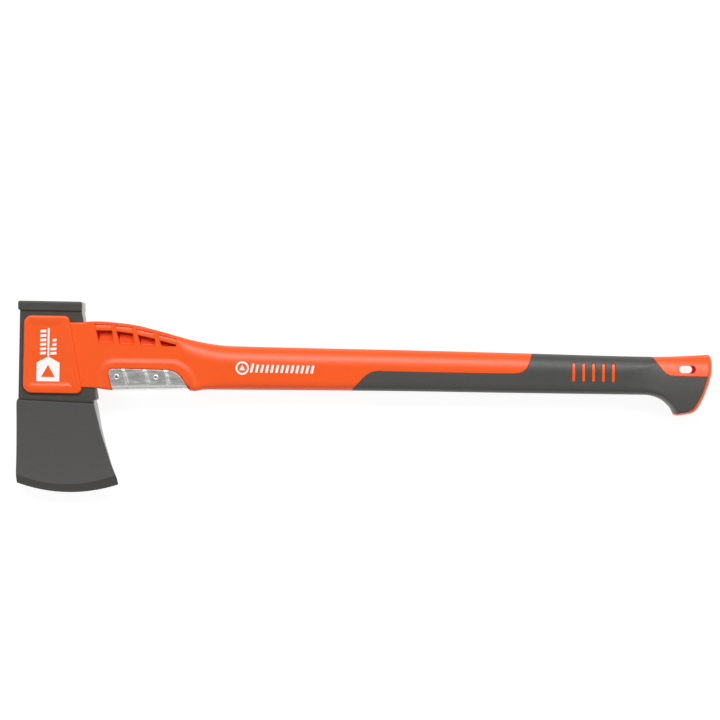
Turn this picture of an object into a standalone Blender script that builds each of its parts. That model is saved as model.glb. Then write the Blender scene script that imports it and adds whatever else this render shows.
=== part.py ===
"""Felling axe: a forged steel head on a hollow composite handle with a soft moulded-on grip.

The axe lies on its side. +X runs from the head to the butt, +Y to the poll, -Y to the cutting edge
and +Z up. World units are metres, and the world origin is the bottom centre of the whole axe.

Shapes are drawn in millimetres in the axe's own frame: Y is measured from the handle's axis and Z from
the mid-plane. One empty, axe_frame, carries every piece from that frame to the world.
"""

import bmesh
import bpy
import numpy as np
from mathutils import Vector

MM = 0.001

# Overall size, in the axe's own frame.
FRONT_X = 2.35
BUTT_X = 702.35
POLL_Y = 63.2
EDGE_Y = -128.9
HALF_THICKNESS = 18.0

GAP = 0.3  # between pieces that touch
FAR = 30.0  # cutters reach this far past what they cut

# Head.
FLANGE_HEIGHT = 9.0
FLANGE_LEFT, FLANGE_RIGHT = 3.0, 67.4
FLANGE_HALF = 16.25
FLANGE_ROUND = 1.5
NECK_LEFT = 4.8
NECK_TOP_RIGHT = (67.2, 53.0)
NECK_BASE_RIGHT = (85.4, -34.5)
NECK_BASE_Y = -33.0
NECK_HALF = 14.0
SHOULDER_LEFT, SHOULDER_RIGHT = (3.6, -36.8), (81.2, -38.9)
BEVEL_LEFT, BEVEL_RIGHT, BEVEL_SAG = (FRONT_X, -111.0), (102.4, -110.0), 10.4
EDGE_LEFT, EDGE_RIGHT, EDGE_SAG = (3.1, -120.2), (105.9, -120.3), 8.65
HEEL_SAG = 2.3
BEVEL_HALF = 2.2
EDGE_HALF = 0.15
BLADE_TAPER = 1.6
EYE_LOW, EYE_HIGH, EYE_HALF, EYE_ROUND = -21.0, 41.0, 11.0, 4.0

# Handle: its outline seen from the side, its half-thickness and the roundness of its section, along X.
TOP_EDGE = [
    (50, 42.6), (70, 43.0), (88, 44.3), (114.6, 42.3), (139, 37.2), (163, 31.0), (187.6, 25.4),
    (212, 22.4), (236, 22.0), (388, 21.4), (489, 20.6), (590, 19.5), (630, 19.3), (650, 19.6), (697, 22.5),
]
BOTTOM_EDGE = [
    (50, -23.4), (67, -23.6), (97, -24.9), (170, -22.0), (192, -22.6), (236, -22.0), (287, -21.4),
    (388, -20.4), (489, -20.1), (590, -19.5), (630, -19.3), (640, -19.9),
]
HALF_WIDTH = [
    (50, 15.8), (150, 15.8), (235, 13.3), (300, 12.6), (570, 12.6), (620, 13.6), (650, 16.4),
    (668, HALF_THICKNESS), (697, HALF_THICKNESS),
]
ROUND_TOP = [(50, 3.0), (130, 4.0), (210, 12.0), (240, 12.6), (600, 12.0), (640, 9.0), (697, 7.0)]
ROUND_BOTTOM = [(50, 4.0), (130, 4.5), (210, 12.0), (240, 12.6), (600, 12.0), (640, 9.0), (697, 7.0)]
STRAIGHT_STATIONS = [
    50, 70, 88, 101, 115, 128, 141, 154, 167, 180, 192, 204, 216, 228, 240, 290, 340, 390, 440, 490, 540,
    580, 605, 625, 640,
]
# The butt's sections fan out: each joins a point of the belly to a place along the top, and bulges by so much.
BUTT_SECTIONS = [
    ((646, -22.2), 647, 0.5), ((650, -24.0), 652, 1.0), ((654, -26.9), 657, 1.7), ((658, -30.6), 662, 2.6),
    ((661, -35.2), 667, 3.8), ((664, -38.9), 672, 5.2), ((667, -39.8), 677, 6.6), ((672, -39.6), 685, 8.2),
]
END_BOTTOM, END_TOP, END_BULGE = (681.0, -37.7), (697.2, 22.5), 10.92
END_ROUND = 3.0
RIM_BOTTOM, RIM_TOP, RIM_BULGE = (678.7, -38.6), (692.0, 24.0), 9.6
GRIP_THICKNESS = 2.5
CAVITY_INSET = 6.0
SIDE_STEPS = 4
CAVITY_START = 215.0
PLUG_DEPTH, PLUG_OVERLAP = 6.5, 1.0
PLUG_INSET = 6.5

# Cheek plates, moulded over both sides of the head.
PLATE = [((10.1, 48.7), 7), ((54.6, 48.7), 4), ((69.9, -29.1), 5), ((10.1, -29.1), 8)]
PANEL = [(17.6, 38.2), (48.2, 38.2), (57.2, -18.0), (17.8, -18.0)]
PANEL_SLOPE = 4.0
PANEL_DEPTH = 1.2

# Window pockets in the neck: corners of each, clockwise from the top left.
WINDOWS = [
    [(82.0, 34.9), (98.3, 34.9), (100.4, 22.2), (85.3, 22.0)],
    [(102.5, 34.4), (119.4, 32.3), (121.7, 20.9), (105.9, 20.9)],
    [(123.9, 31.1), (141.4, 27.3), (142.6, 20.2), (127.1, 20.0)],
    [(145.9, 26.3), (162.6, 22.6), (162.3, 20.2), (148.3, 20.3)],
]
WINDOW_ROUND = 1.2
WEB_HALF = 9.0

# Raised pad around the strike guard.
PAD = [
    ((90.0, -24.4), 0), ((90.0, 4.5), 8), ((160.8, 4.9), 16), ((177.5, -3.5), 14), ((188.5, -22.6), 0),
    ((182.5, -24.4), 5), ((174.0, -23.6), 0),
]
PAD_HALF = 17.0
PAD_EDGE = 1.2

# Strike guard: a plate bent to a U around the belly of the neck.
GUARD_LEFT = [(100.6, -31.0), (95.1, -3.0)]
GUARD_TOP_Y = -3.3
GUARD_RIGHT = [(165.2, -3.3), (181.0, -31.0)]
GUARD_CORNER, GUARD_CURVE = 4.0, 14.0
GUARD_BELLY = [(90.0, -24.6), (185.0, -21.5)]
GUARD_HALF = 17.1
GUARD_SHEET = 1.2
GUARD_BEND = 5.0
BEND_STEPS = 4
TAB_CENTRES = [110.3, 131.4, 152.0]
TAB_WIDTH, TAB_HEIGHT = 5.5, 1.9

RIVETS = {"guard_rivet_front": (103.9, -10.6), "guard_rivet_rear": (143.1, -10.9)}
RIVET_HEAD, RIVET_SHANK, RIVET_BORE = 2.9, 2.0, 1.3
RIVET_FLANGE = 0.5
ROUND_STEPS = 16

# Grip: where it covers the handle, seen from the side.
GRIP = [
    ((330, -60), 0), ((330, -32), 0), ((357, -0.8), 8), ((518.5, -0.8), 16), ((520.5, 50), 0), ((640, 50), 0),
    ((640, 19.5), 0), ((655, -0.2), 12), ((740, -0.2), 0), ((740, -60), 0),
]
BAR_COUNT, BAR_FIRST_X, BAR_STEP, BAR_Y = 5, 562.4, 9.95, 1.7
BAR_LENGTH, BAR_WIDTH = 19.0, 3.5
BAR_SINK = 0.3

SLOT_CENTRE, SLOT_LENGTH, SLOT_WIDTH, SLOT_WALL = (676.2, 6.6), 16.8, 7.6, 3.0

ORANGE = (0.94, 0.105, 0.018, 1.0)
STEEL_GREY = (0.075, 0.075, 0.072, 1.0)
GRIP_GREY = (0.07, 0.07, 0.068, 1.0)
BRIGHT_STEEL = (0.55, 0.55, 0.54, 1.0)


def clear_scene():
    for obj in list(bpy.data.objects):
        bpy.data.objects.remove(obj, do_unlink=True)


def make_material(name, color, roughness, metallic=0.0):
    material = bpy.data.materials.new(name)
    material.use_nodes = True
    shader = material.node_tree.nodes["Principled BSDF"]
    shader.inputs["Base Color"].default_value = color
    shader.inputs["Roughness"].default_value = roughness
    shader.inputs["Metallic"].default_value = metallic
    return material


def make_object(name, mesh_builder, parent):
    """An object from a bmesh drawn in millimetres, with its faces turned outwards."""
    bmesh.ops.recalc_face_normals(mesh_builder, faces=mesh_builder.faces)
    bmesh.ops.scale(mesh_builder, vec=Vector((MM, MM, MM)), verts=mesh_builder.verts)
    mesh = bpy.data.meshes.new(name)
    mesh_builder.to_mesh(mesh)
    mesh_builder.free()
    obj = bpy.data.objects.new(name, mesh)
    bpy.context.scene.collection.objects.link(obj)
    obj.parent = parent
    return obj


def as_cutter(obj):
    obj.hide_render = True
    obj.display_type = "WIRE"
    return obj


def combine(obj, operation, *tools):
    """Adds one exact Boolean modifier to obj for each tool, in order."""
    for tool in tools:
        modifier = obj.modifiers.new(f"{operation}_{tool.name}", "BOOLEAN")
        modifier.operation = operation
        modifier.solver = "EXACT"
        modifier.object = as_cutter(tool)
    return obj


def finish(obj, material):
    obj.data.materials.append(material)
    obj.data.shade_smooth()
    obj.data.set_sharp_from_angle(angle=np.radians(35))


def smooth(points, x):
    """A cubic curve through the points, without overshoot, read at x."""
    xs, ys = np.array(points, float).T
    steps = np.diff(ys) / np.diff(xs)
    before, after = steps[:-1], steps[1:]
    turning = before * after <= 0
    total = np.where(turning, 1.0, before + after)
    inner = np.where(turning, 0.0, 2 * before * after / total)
    slopes = np.concatenate([steps[:1], inner, steps[-1:]])
    i = int(np.clip(np.searchsorted(xs, x) - 1, 0, len(xs) - 2))
    width = xs[i + 1] - xs[i]
    t = np.clip((x - xs[i]) / width, 0, 1)
    start = ys[i] * (1 + 2 * t) * (1 - t) ** 2 + slopes[i] * width * t * (1 - t) ** 2
    end = ys[i + 1] * t**2 * (3 - 2 * t) + slopes[i + 1] * width * t**2 * (t - 1)
    return float(start + end)


def lerp(a, b, share):
    return a + (b - a) * share


def rounded(corners, steps=4):
    """An outline whose corners, given as (point, radius), are rounded by arcs."""
    outline = []
    count = len(corners)
    for i, (point, radius) in enumerate(corners):
        here = Vector(point)
        if radius == 0:
            outline.append(here)
            continue
        back = (Vector(corners[i - 1][0]) - here).normalized()
        ahead = (Vector(corners[(i + 1) % count][0]) - here).normalized()
        half_angle = back.angle(ahead) / 2
        centre = here + (back + ahead).normalized() * radius / np.sin(half_angle)
        first = (here + back * radius / np.tan(half_angle) - centre).normalized()
        last = (here + ahead * radius / np.tan(half_angle) - centre).normalized()
        for step in range(steps + 1):
            outline.append(centre + first.slerp(last, step / steps) * radius)
    return outline


def grown(outline, distance):
    """The outline with each edge moved outwards by distance, or inwards if it is negative."""
    points = [Vector(p) for p in outline]
    area = sum(p.cross(q) for p, q in zip(points, points[1:] + points[:1]))
    side = 1 if area > 0 else -1
    moved = []
    for i, point in enumerate(points):
        back = (point - points[i - 1]).normalized()
        ahead = (points[(i + 1) % len(points)] - point).normalized()
        normal_back = Vector((back.y, -back.x)) * side
        normal_ahead = Vector((ahead.y, -ahead.x)) * side
        middle = (normal_back + normal_ahead).normalized()
        moved.append(point + middle * distance / middle.dot(normal_back))
    return moved


def slot_outline(centre, length, width, steps=6):
    """A round-ended slot along X."""
    radius = width / 2
    reach = length / 2 - radius
    outline = []
    for side in (1, -1):
        for angle in np.linspace(-np.pi / 2, np.pi / 2, steps + 1):
            x = centre[0] + side * (reach + radius * np.cos(angle))
            outline.append(Vector((x, centre[1] + side * radius * np.sin(angle))))
    return outline


def add_sides(builder, rows, closed=False):
    """The faces between neighbouring rows of vertices, each row a closed loop."""
    following = rows[1:] + rows[:1] if closed else rows[1:]
    count = len(rows[0])
    for low, high in zip(rows, following):
        for i in range(count):
            j = (i + 1) % count
            builder.faces.new((low[i], low[j], high[j], high[i]))


def add_layers(builder, layers):
    """A closed body through outlines of equal length, given as (outline, z)."""
    rows = [[builder.verts.new((p[0], p[1], z)) for p in outline] for outline, z in layers]
    builder.faces.new(rows[0])
    builder.faces.new(rows[-1])
    add_sides(builder, rows)


def layered(layers):
    builder = bmesh.new()
    add_layers(builder, layers)
    return builder


def prism(name, outline, low, high, parent):
    return make_object(name, layered([(outline, low), (outline, high)]), parent)


def prisms(name, outlines, spans, parent):
    """One object made of a separate block for each outline and each (low, high) span."""
    builder = bmesh.new()
    for outline in outlines:
        for low, high in spans:
            add_layers(builder, [(outline, low), (outline, high)])
    return make_object(name, builder, parent)


def loft(rings):
    """A closed bmesh through rings whose point i faces point -1-i across the mid-plane."""
    builder = bmesh.new()
    rows = [[builder.verts.new(p) for p in ring] for ring in rings]
    for row in (rows[0], rows[-1]):
        for i in range(len(row) // 2 - 1):
            builder.faces.new((row[i], row[i + 1], row[-2 - i], row[-1 - i]))
    add_sides(builder, rows)
    return builder


def mirrored_ring(upper):
    """The ring made of the points above the mid-plane and their mirror images, in reverse."""
    return upper + [(x, y, -z) for x, y, z in reversed(upper)]


def end_shape(share):
    """How far the butt's end bulges at this share of its height, from 0 to 1."""
    return float(np.sqrt(max(np.sin(np.pi * share**1.25), 0.0)))


def butt_curve(bottom, top, bulge, steps=16):
    """The butt's end, or a line parallel to it, from its lowest point to its highest."""
    low, high = Vector(bottom), Vector(top)
    along = (high - low).normalized()
    outward = Vector((along.y, -along.x))
    shares = [0.5 - 0.5 * np.cos(np.pi * i / steps) for i in range(steps + 1)]
    return [low.lerp(high, share) + outward * bulge * end_shape(share) for share in shares]


def handle_ring(bottom, top, bulge, half, round_low, round_high, inset, steps=4):
    """One round-cornered section of the handle, in the plane or the curved sheet from bottom to top."""
    low, high = Vector(bottom), Vector(top)
    height = (high - low).length
    along = (high - low) / height
    outward = Vector((along.y, -along.x))
    half = half - inset
    radius_low = min(round_low, half + inset - 0.4) - min(inset, round_low - 1)
    radius_high = min(round_high, half + inset - 0.4) - min(inset, round_high - 1)
    upper = []
    for angle in np.linspace(0, np.pi / 2, steps + 1):
        upper.append((inset + radius_low * (1 - np.cos(angle)), half - radius_low * (1 - np.sin(angle))))
    flat_low, flat_high = inset + radius_low, height - inset - radius_high
    for share in np.linspace(0, 1, SIDE_STEPS + 1)[1:-1]:
        upper.append((lerp(flat_low, flat_high, share), half))
    for angle in np.linspace(0, np.pi / 2, steps + 1):
        rise = height - inset - radius_high * (1 - np.sin(angle))
        upper.append((rise, half - radius_high * (1 - np.cos(angle))))
    ring = []
    for rise, across in upper:
        point = low + along * rise + outward * bulge * end_shape(rise / height)
        ring.append((point.x, point.y, across))
    return mirrored_ring(ring)


def handle_body(name, parent, inset=0.0, start=STRAIGHT_STATIONS[0]):
    """The whole handle's outer shape, or the shape at this depth below it, from start to the butt."""
    sections = [((x, smooth(BOTTOM_EDGE, x)), x, 0.0) for x in STRAIGHT_STATIONS if x >= start]
    rings = []
    for bottom, top_x, bulge in sections + BUTT_SECTIONS:
        top = (top_x, smooth(TOP_EDGE, top_x))
        half = smooth(HALF_WIDTH, top_x)
        radii = smooth(ROUND_BOTTOM, top_x), smooth(ROUND_TOP, top_x)
        rings.append(handle_ring(bottom, top, bulge, half, *radii, inset))
    # The end's edge is rounded off in steps as the sections come out to the end's own curve.
    along = (Vector(END_TOP) - Vector(END_BOTTOM)).normalized()
    outward = Vector((along.y, -along.x))
    for angle in np.radians((0, 30, 60, 90)):
        back = outward * END_ROUND * (1 - np.sin(angle))
        shrink = inset + END_ROUND * (1 - np.cos(angle))
        bottom, top = Vector(END_BOTTOM) - back, Vector(END_TOP) - back
        ends = ROUND_BOTTOM[-1][1], ROUND_TOP[-1][1]
        rings.append(handle_ring(bottom, top, END_BULGE, HALF_THICKNESS, *ends, shrink))
    return make_object(name, loft(rings), parent)


def head_ring(left, right, half, sag=0.0, columns=14):
    """One section of the head from its front to its heel, sagging towards the cutting edge."""
    upper = []
    for share in np.linspace(0, 1, columns + 1):
        x = lerp(left[0], right[0], share)
        y = lerp(left[1], right[1], share) - sag * 4 * share * (1 - share)
        upper.append((x, y, half))
    return mirrored_ring(upper)


def blade_section(share):
    """The blade's section at this share of the way from its shoulder to its bevel."""
    left = [lerp(SHOULDER_LEFT[k], BEVEL_LEFT[k], share) for k in (0, 1)]
    y = lerp(SHOULDER_RIGHT[1], BEVEL_RIGHT[1], share)
    drop = (y - SHOULDER_RIGHT[1]) / (EDGE_RIGHT[1] - SHOULDER_RIGHT[1])
    x = lerp(SHOULDER_RIGHT[0], EDGE_RIGHT[0], drop) - HEEL_SAG * 4 * drop * (1 - drop)
    half = BEVEL_HALF + (HALF_THICKNESS - BEVEL_HALF) * (1 - share) ** BLADE_TAPER
    return head_ring(left, (x, y), half, BEVEL_SAG * share)


def eye_prism(name, start, end, inset, parent):
    """The eye runs the length of the head; inset makes it smaller all round."""
    low, high, half = EYE_LOW + inset, EYE_HIGH - inset, EYE_HALF - inset
    section = rounded([((low, half), EYE_ROUND), ((high, half), EYE_ROUND),
                       ((high, -half), EYE_ROUND), ((low, -half), EYE_ROUND)])
    builder = bmesh.new()
    rows = [[builder.verts.new((x, p[0], p[1])) for p in section] for x in (start, end)]
    builder.faces.new(rows[0])
    builder.faces.new(rows[1])
    add_sides(builder, rows)
    return make_object(name, builder, parent)


def make_head(parent):
    flange_foot = POLL_Y - FLANGE_HEIGHT
    rings = []
    for angle in np.radians((90, 45, 0)):
        inset = FLANGE_ROUND * (1 - np.cos(angle))
        y = POLL_Y - FLANGE_ROUND * (1 - np.sin(angle))
        rings.append(head_ring((FLANGE_LEFT + inset, y), (FLANGE_RIGHT - inset, y), FLANGE_HALF - inset))
    rings.append(head_ring((FLANGE_LEFT, flange_foot), (FLANGE_RIGHT, flange_foot), FLANGE_HALF))
    rings.append(head_ring((NECK_LEFT, NECK_TOP_RIGHT[1]), NECK_TOP_RIGHT, NECK_HALF))
    rings.append(head_ring((NECK_LEFT, NECK_BASE_Y), NECK_BASE_RIGHT, NECK_HALF))
    rings += [blade_section(share) for share in np.linspace(0, 1, 9)]
    rings.append(head_ring(EDGE_LEFT, EDGE_RIGHT, EDGE_HALF, EDGE_SAG))
    head = make_object("axe_head", loft(rings), parent)
    return combine(head, "DIFFERENCE", eye_prism("eye_cutter", -FAR, BUTT_X, 0.0, parent))


def head_clearance(parent):
    """The room that the head's neck takes in the handle, with the tongue in the eye left standing."""
    outline = [
        (-FAR, NECK_BASE_RIGHT[1]), (NECK_BASE_RIGHT[0] + GAP, NECK_BASE_RIGHT[1]),
        (NECK_TOP_RIGHT[0] + GAP, NECK_TOP_RIGHT[1]), (-FAR, NECK_TOP_RIGHT[1]),
    ]
    half = NECK_HALF + GAP
    block = prism("head_clearance", outline, -half, half, parent)
    return combine(block, "DIFFERENCE", eye_prism("tongue_keep", -FAR - 1, BUTT_X, GAP, parent))


def window_cutter(parent):
    """The pockets of both sides, as separate blocks of one cutter."""
    outlines = [rounded([(corner, WINDOW_ROUND) for corner in corners], steps=2) for corners in WINDOWS]
    return prisms("window_cutter", outlines, [(WEB_HALF, FAR), (-FAR, -WEB_HALF)], parent)


def panel_cutter(side, parent):
    """The shallow recess with sloping sides in one cheek plate."""
    rim = grown(PANEL, PANEL_SLOPE)
    past = grown(PANEL, PANEL_SLOPE + 1)
    floor_z = side * (HALF_THICKNESS - PANEL_DEPTH)
    layers = [(PANEL, floor_z), (rim, side * HALF_THICKNESS), (past, side * (HALF_THICKNESS + 1))]
    name = "panel_cutter_top" if side > 0 else "panel_cutter_under"
    return make_object(name, layered(layers), parent)


def guard_outline(grow):
    """The guard seen from the side, with its bent tabs on the top edge."""
    corners = [(GUARD_LEFT[0], 0), (GUARD_LEFT[1], GUARD_CORNER)]
    for centre in TAB_CENTRES:
        for dx, dy in ((-1, 0), (-1, 1), (1, 1), (1, 0)):
            corners.append(((centre + dx * TAB_WIDTH / 2, GUARD_TOP_Y + dy * TAB_HEIGHT), 0))
    corners += [(GUARD_RIGHT[0], GUARD_CURVE), (GUARD_RIGHT[1], 0)]
    return grown(rounded(corners), grow)


def guard_shell(name, inner, outer, grow, parent):
    """The U around the belly between two depths below the guard's outer face, cut to the guard's outline."""
    rings = []
    for x, belly in GUARD_BELLY:
        half_rings = []
        for depth in (outer, inner):
            low, half, bend = belly + depth, GUARD_HALF - depth, GUARD_BEND - depth
            path = [(x, FAR, half)]
            for angle in np.linspace(0, np.pi / 2, BEND_STEPS + 1):
                path.append((x, low + bend * (1 - np.sin(angle)), half - bend * (1 - np.cos(angle))))
            half_rings.append(path)
        outside, inside = half_rings
        rings.append(mirrored_ring(outside) + mirrored_ring(inside)[::-1])
    builder = bmesh.new()
    rows = [[builder.verts.new(p) for p in ring] for ring in rings]
    for row in rows:
        for i in range(len(row) // 2 - 1):
            builder.faces.new((row[i], row[i + 1], row[-2 - i], row[-1 - i]))
    add_sides(builder, rows)
    shell = make_object(name, builder, parent)
    outline = prism(f"{name}_outline", guard_outline(grow), -2 * FAR, 2 * FAR, parent)
    return combine(shell, "INTERSECT", outline)


def rivet_hole(name, centre, parent):
    outline = slot_outline(centre, 2 * (RIVET_SHANK + GAP) + 0.01, 2 * (RIVET_SHANK + GAP))
    return prism(name, outline, -FAR, FAR, parent)


def make_rivet(name, centre, parent):
    """A tubular rivet through the guard and the neck, turned about its own axis."""
    seat = GUARD_HALF + GAP
    top = seat + RIVET_FLANGE
    upper = [(RIVET_BORE, top), (RIVET_HEAD, top), (RIVET_HEAD, seat), (RIVET_SHANK, seat)]
    profile = upper + [(radius, -z) for radius, z in reversed(upper)]
    builder = bmesh.new()
    rows = []
    for angle in np.linspace(0, 2 * np.pi, ROUND_STEPS, endpoint=False):
        rows.append([builder.verts.new((r * np.cos(angle), r * np.sin(angle), z)) for r, z in profile])
    add_sides(builder, rows, closed=True)
    rivet = make_object(name, builder, parent)
    rivet.location = (centre[0] * MM, centre[1] * MM, 0)
    return rivet


def bar_outlines(grow):
    """The raised bars that show through the grip, as upright round-ended slots."""
    outlines = []
    for i in range(BAR_COUNT):
        centre = (BAR_FIRST_X + i * BAR_STEP, BAR_Y)
        lying = slot_outline((0, 0), BAR_LENGTH + 2 * grow, BAR_WIDTH + 2 * grow, steps=3)
        outlines.append([Vector((centre[0] - p.y, centre[1] + p.x)) for p in lying])
    return outlines


def beyond_rim(name, shift, parent, depth=2 * FAR):
    """The block past the joint between handle and butt cap, moved along X by shift, and this deep."""
    curve = butt_curve(RIM_BOTTOM, RIM_TOP, RIM_BULGE)
    curve.insert(0, Vector((curve[0].x, curve[0].y - FAR)))
    outline = [Vector((p.x + shift, p.y)) for p in curve]
    outline += [Vector((p.x + shift + depth, p.y)) for p in reversed(curve)]
    return prism(name, outline, -FAR, FAR, parent)


def cavity_cutter(parent):
    """The hollow of the handle, which leaves a wall standing round the hanging slot."""
    cavity = handle_body("cavity_cutter", parent, CAVITY_INSET, CAVITY_START)
    wall = grown(slot_outline(SLOT_CENTRE, SLOT_LENGTH, SLOT_WIDTH), SLOT_WALL)
    return combine(cavity, "DIFFERENCE", prism("slot_wall", wall, -FAR, FAR, parent))


def grip_recess(parent):
    """What the handle gives up to the grip, with the raised bars left standing."""
    recess = prism("grip_recess", grown(rounded(GRIP), GAP), -FAR, FAR, parent)
    core = handle_body("grip_core_keep", parent, GRIP_THICKNESS + GAP)
    bar_half = smooth(HALF_WIDTH, BAR_FIRST_X) - BAR_SINK
    bars = prisms("bars_keep", bar_outlines(0.0), [(-bar_half, bar_half)], parent)
    return combine(recess, "DIFFERENCE", core, bars)


def make_handle(parent):
    handle = handle_body("handle_shaft", parent)
    plates = prism("plate_block", rounded(PLATE), -HALF_THICKNESS, HALF_THICKNESS, parent)
    pad = prism("pad_block", rounded(PAD), -PAD_HALF, PAD_HALF, parent)
    bevel = pad.modifiers.new("pad_edge", "BEVEL")
    bevel.width = PAD_EDGE * MM
    bevel.segments = 2
    bevel.limit_method = "ANGLE"
    bevel.angle_limit = np.radians(60)
    tongue = eye_prism("tongue_block", NECK_LEFT + 1.2, 90.0, 0.0, parent)
    combine(handle, "UNION", plates, tongue, pad)
    slot = prism("slot_cutter", slot_outline(SLOT_CENTRE, SLOT_LENGTH, SLOT_WIDTH), -FAR, FAR, parent)
    combine(
        handle, "DIFFERENCE", head_clearance(parent), panel_cutter(1, parent), panel_cutter(-1, parent),
        window_cutter(parent), guard_shell("guard_pocket", GUARD_SHEET + GAP, -FAR / 2, GAP, parent),
        cavity_cutter(parent), slot, grip_recess(parent), beyond_rim("rim_cutter", -GAP, parent),
    )
    for name, centre in RIVETS.items():
        combine(handle, "DIFFERENCE", rivet_hole(f"{name}_handle_hole", centre, parent))
    return handle


def make_grip(parent):
    grip = handle_body("soft_grip", parent)
    combine(grip, "INTERSECT", prism("grip_region", rounded(GRIP), -FAR, FAR, parent))
    return combine(
        grip, "DIFFERENCE", handle_body("grip_core", parent, GRIP_THICKNESS),
        prisms("bar_slots", bar_outlines(GAP), [(-FAR, FAR)], parent),
        beyond_rim("grip_rim_cutter", -GAP, parent),
    )


def make_cap(parent):
    cap = handle_body("butt_cap", parent)
    combine(cap, "INTERSECT", beyond_rim("cap_region", 0.0, parent))
    plug = handle_body("plug", parent, PLUG_INSET)
    region = beyond_rim("plug_region", -PLUG_DEPTH, parent, PLUG_DEPTH + PLUG_OVERLAP)
    combine(plug, "INTERSECT", region)
    return combine(cap, "UNION", plug)


def make_guard(parent):
    guard = guard_shell("strike_guard", GUARD_SHEET, 0.0, 0.0, parent)
    for name, centre in RIVETS.items():
        combine(guard, "DIFFERENCE", rivet_hole(f"{name}_guard_hole", centre, parent))
    return guard


def main():
    clear_scene()
    frame = bpy.data.objects.new("axe_frame", None)
    bpy.context.scene.collection.objects.link(frame)
    middle = Vector(((FRONT_X + BUTT_X) / 2, (POLL_Y + EDGE_Y) / 2, -HALF_THICKNESS))
    frame.location = -middle * MM

    orange = make_material("orange_composite", ORANGE, 0.4)
    steel = make_material("coated_steel", STEEL_GREY, 0.5, 0.4)
    rubber = make_material("soft_grip_rubber", GRIP_GREY, 0.8)
    bright = make_material("bright_steel", BRIGHT_STEEL, 0.35, 1.0)

    finish(make_head(frame), steel)
    finish(make_handle(frame), orange)
    finish(make_grip(frame), rubber)
    finish(make_cap(frame), orange)
    finish(make_guard(frame), bright)
    for name, centre in RIVETS.items():
        finish(make_rivet(name, centre, frame), bright)


main()
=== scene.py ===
"""Looks of the felling axe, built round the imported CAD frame.

Shapes are drawn in millimetres in the axe's own side view: X runs from the head's front face to the
butt, Y up from the handle's axis to the poll, and Z out of the mid-plane. to_row() carries them into the
row frame, from the corner of the CAD box. Most pieces are slabs: a fine triangle mesh in the side view,
lifted by a height function and mirrored across the mid-plane.
"""

import bmesh
import bpy
import numpy as np
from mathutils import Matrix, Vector
from mathutils.geometry import delaunay_2d_cdt


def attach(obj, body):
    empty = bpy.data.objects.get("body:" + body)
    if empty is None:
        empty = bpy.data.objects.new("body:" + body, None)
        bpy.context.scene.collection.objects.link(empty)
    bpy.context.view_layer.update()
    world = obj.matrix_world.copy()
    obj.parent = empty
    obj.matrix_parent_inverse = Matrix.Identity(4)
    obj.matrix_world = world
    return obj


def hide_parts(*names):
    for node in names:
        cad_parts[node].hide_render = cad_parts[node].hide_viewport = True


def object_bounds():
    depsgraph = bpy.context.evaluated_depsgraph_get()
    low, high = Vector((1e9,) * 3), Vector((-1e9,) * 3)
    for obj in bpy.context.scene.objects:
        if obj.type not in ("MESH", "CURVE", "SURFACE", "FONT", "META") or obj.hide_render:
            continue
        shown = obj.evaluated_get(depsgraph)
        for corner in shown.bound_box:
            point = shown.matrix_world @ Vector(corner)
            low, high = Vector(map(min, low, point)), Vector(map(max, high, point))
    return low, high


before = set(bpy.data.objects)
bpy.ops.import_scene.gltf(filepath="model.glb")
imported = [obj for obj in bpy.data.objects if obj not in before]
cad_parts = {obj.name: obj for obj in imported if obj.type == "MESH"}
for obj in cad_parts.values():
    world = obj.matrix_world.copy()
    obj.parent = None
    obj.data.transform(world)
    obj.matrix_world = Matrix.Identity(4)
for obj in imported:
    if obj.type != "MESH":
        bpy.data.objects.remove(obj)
CAD_LOW, CAD_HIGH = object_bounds()

MM = 0.001
FRONT_X, BUTT_X, EDGE_Y = 2.35, 702.35, -128.9
HALF_THICKNESS = 18.0

REACH = 20.0  # distances beyond this aren't told apart
CREASE = 0.1  # width of a wall that a height function makes
CHUNK = 2000  # points measured at once
LEAST_MITRE = 0.5  # an offset line's corners reach no further than twice its distance

# How the slabs are meshed: the spacing of points along lines, and over faces.
LINE_SPACING, CURVE_SPACING, BUTT_SPACING, EDGE_SPACING, HEAD_SPACING = 1.6, 1.2, 1, 2, 3
BODY_FILL, PLATE_FILL, CAP_FILL, TONGUE_FILL, GUARD_FILL = 2, 2.4, 1.6, 4, 1.1
ROW_SHARE, CLEAR_SHARE = 0.866, 0.45  # of that spacing: from row to row, and kept free beside a line
LEAST_GAP, RIM_CLEAR = 0.25, 0.6  # kept free by the rim's rows beside a line, and inside the rim's rounding
RIM_TRUE = 0.97  # a row nearer to the rim than this share of what it should be has folded over
# Where the rows of a small rounding lie, as shares of its reach.
ROUND_STEPS, LEAD_STEPS, SHOULDER_STEPS = (0, 0.15, 0.45, 1), (0.1, 0.4, 1), (0, 0.13, 0.5, 1)
MERGED = 1e-4  # points closer than this become one
# Where a normal is read: this far inside its face, or this share of the way to its middle.
PROBE, PROBE_SHARE, PROBE_STEP = 0.08, 0.3, 0.03
SMOOTH_ANGLE, SHARP_ANGLE, LOOSE_SHARP_ANGLE = np.radians((14, 35, 38))
LEAST_SKIN = 0.05  # between a cavity and the surface

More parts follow.
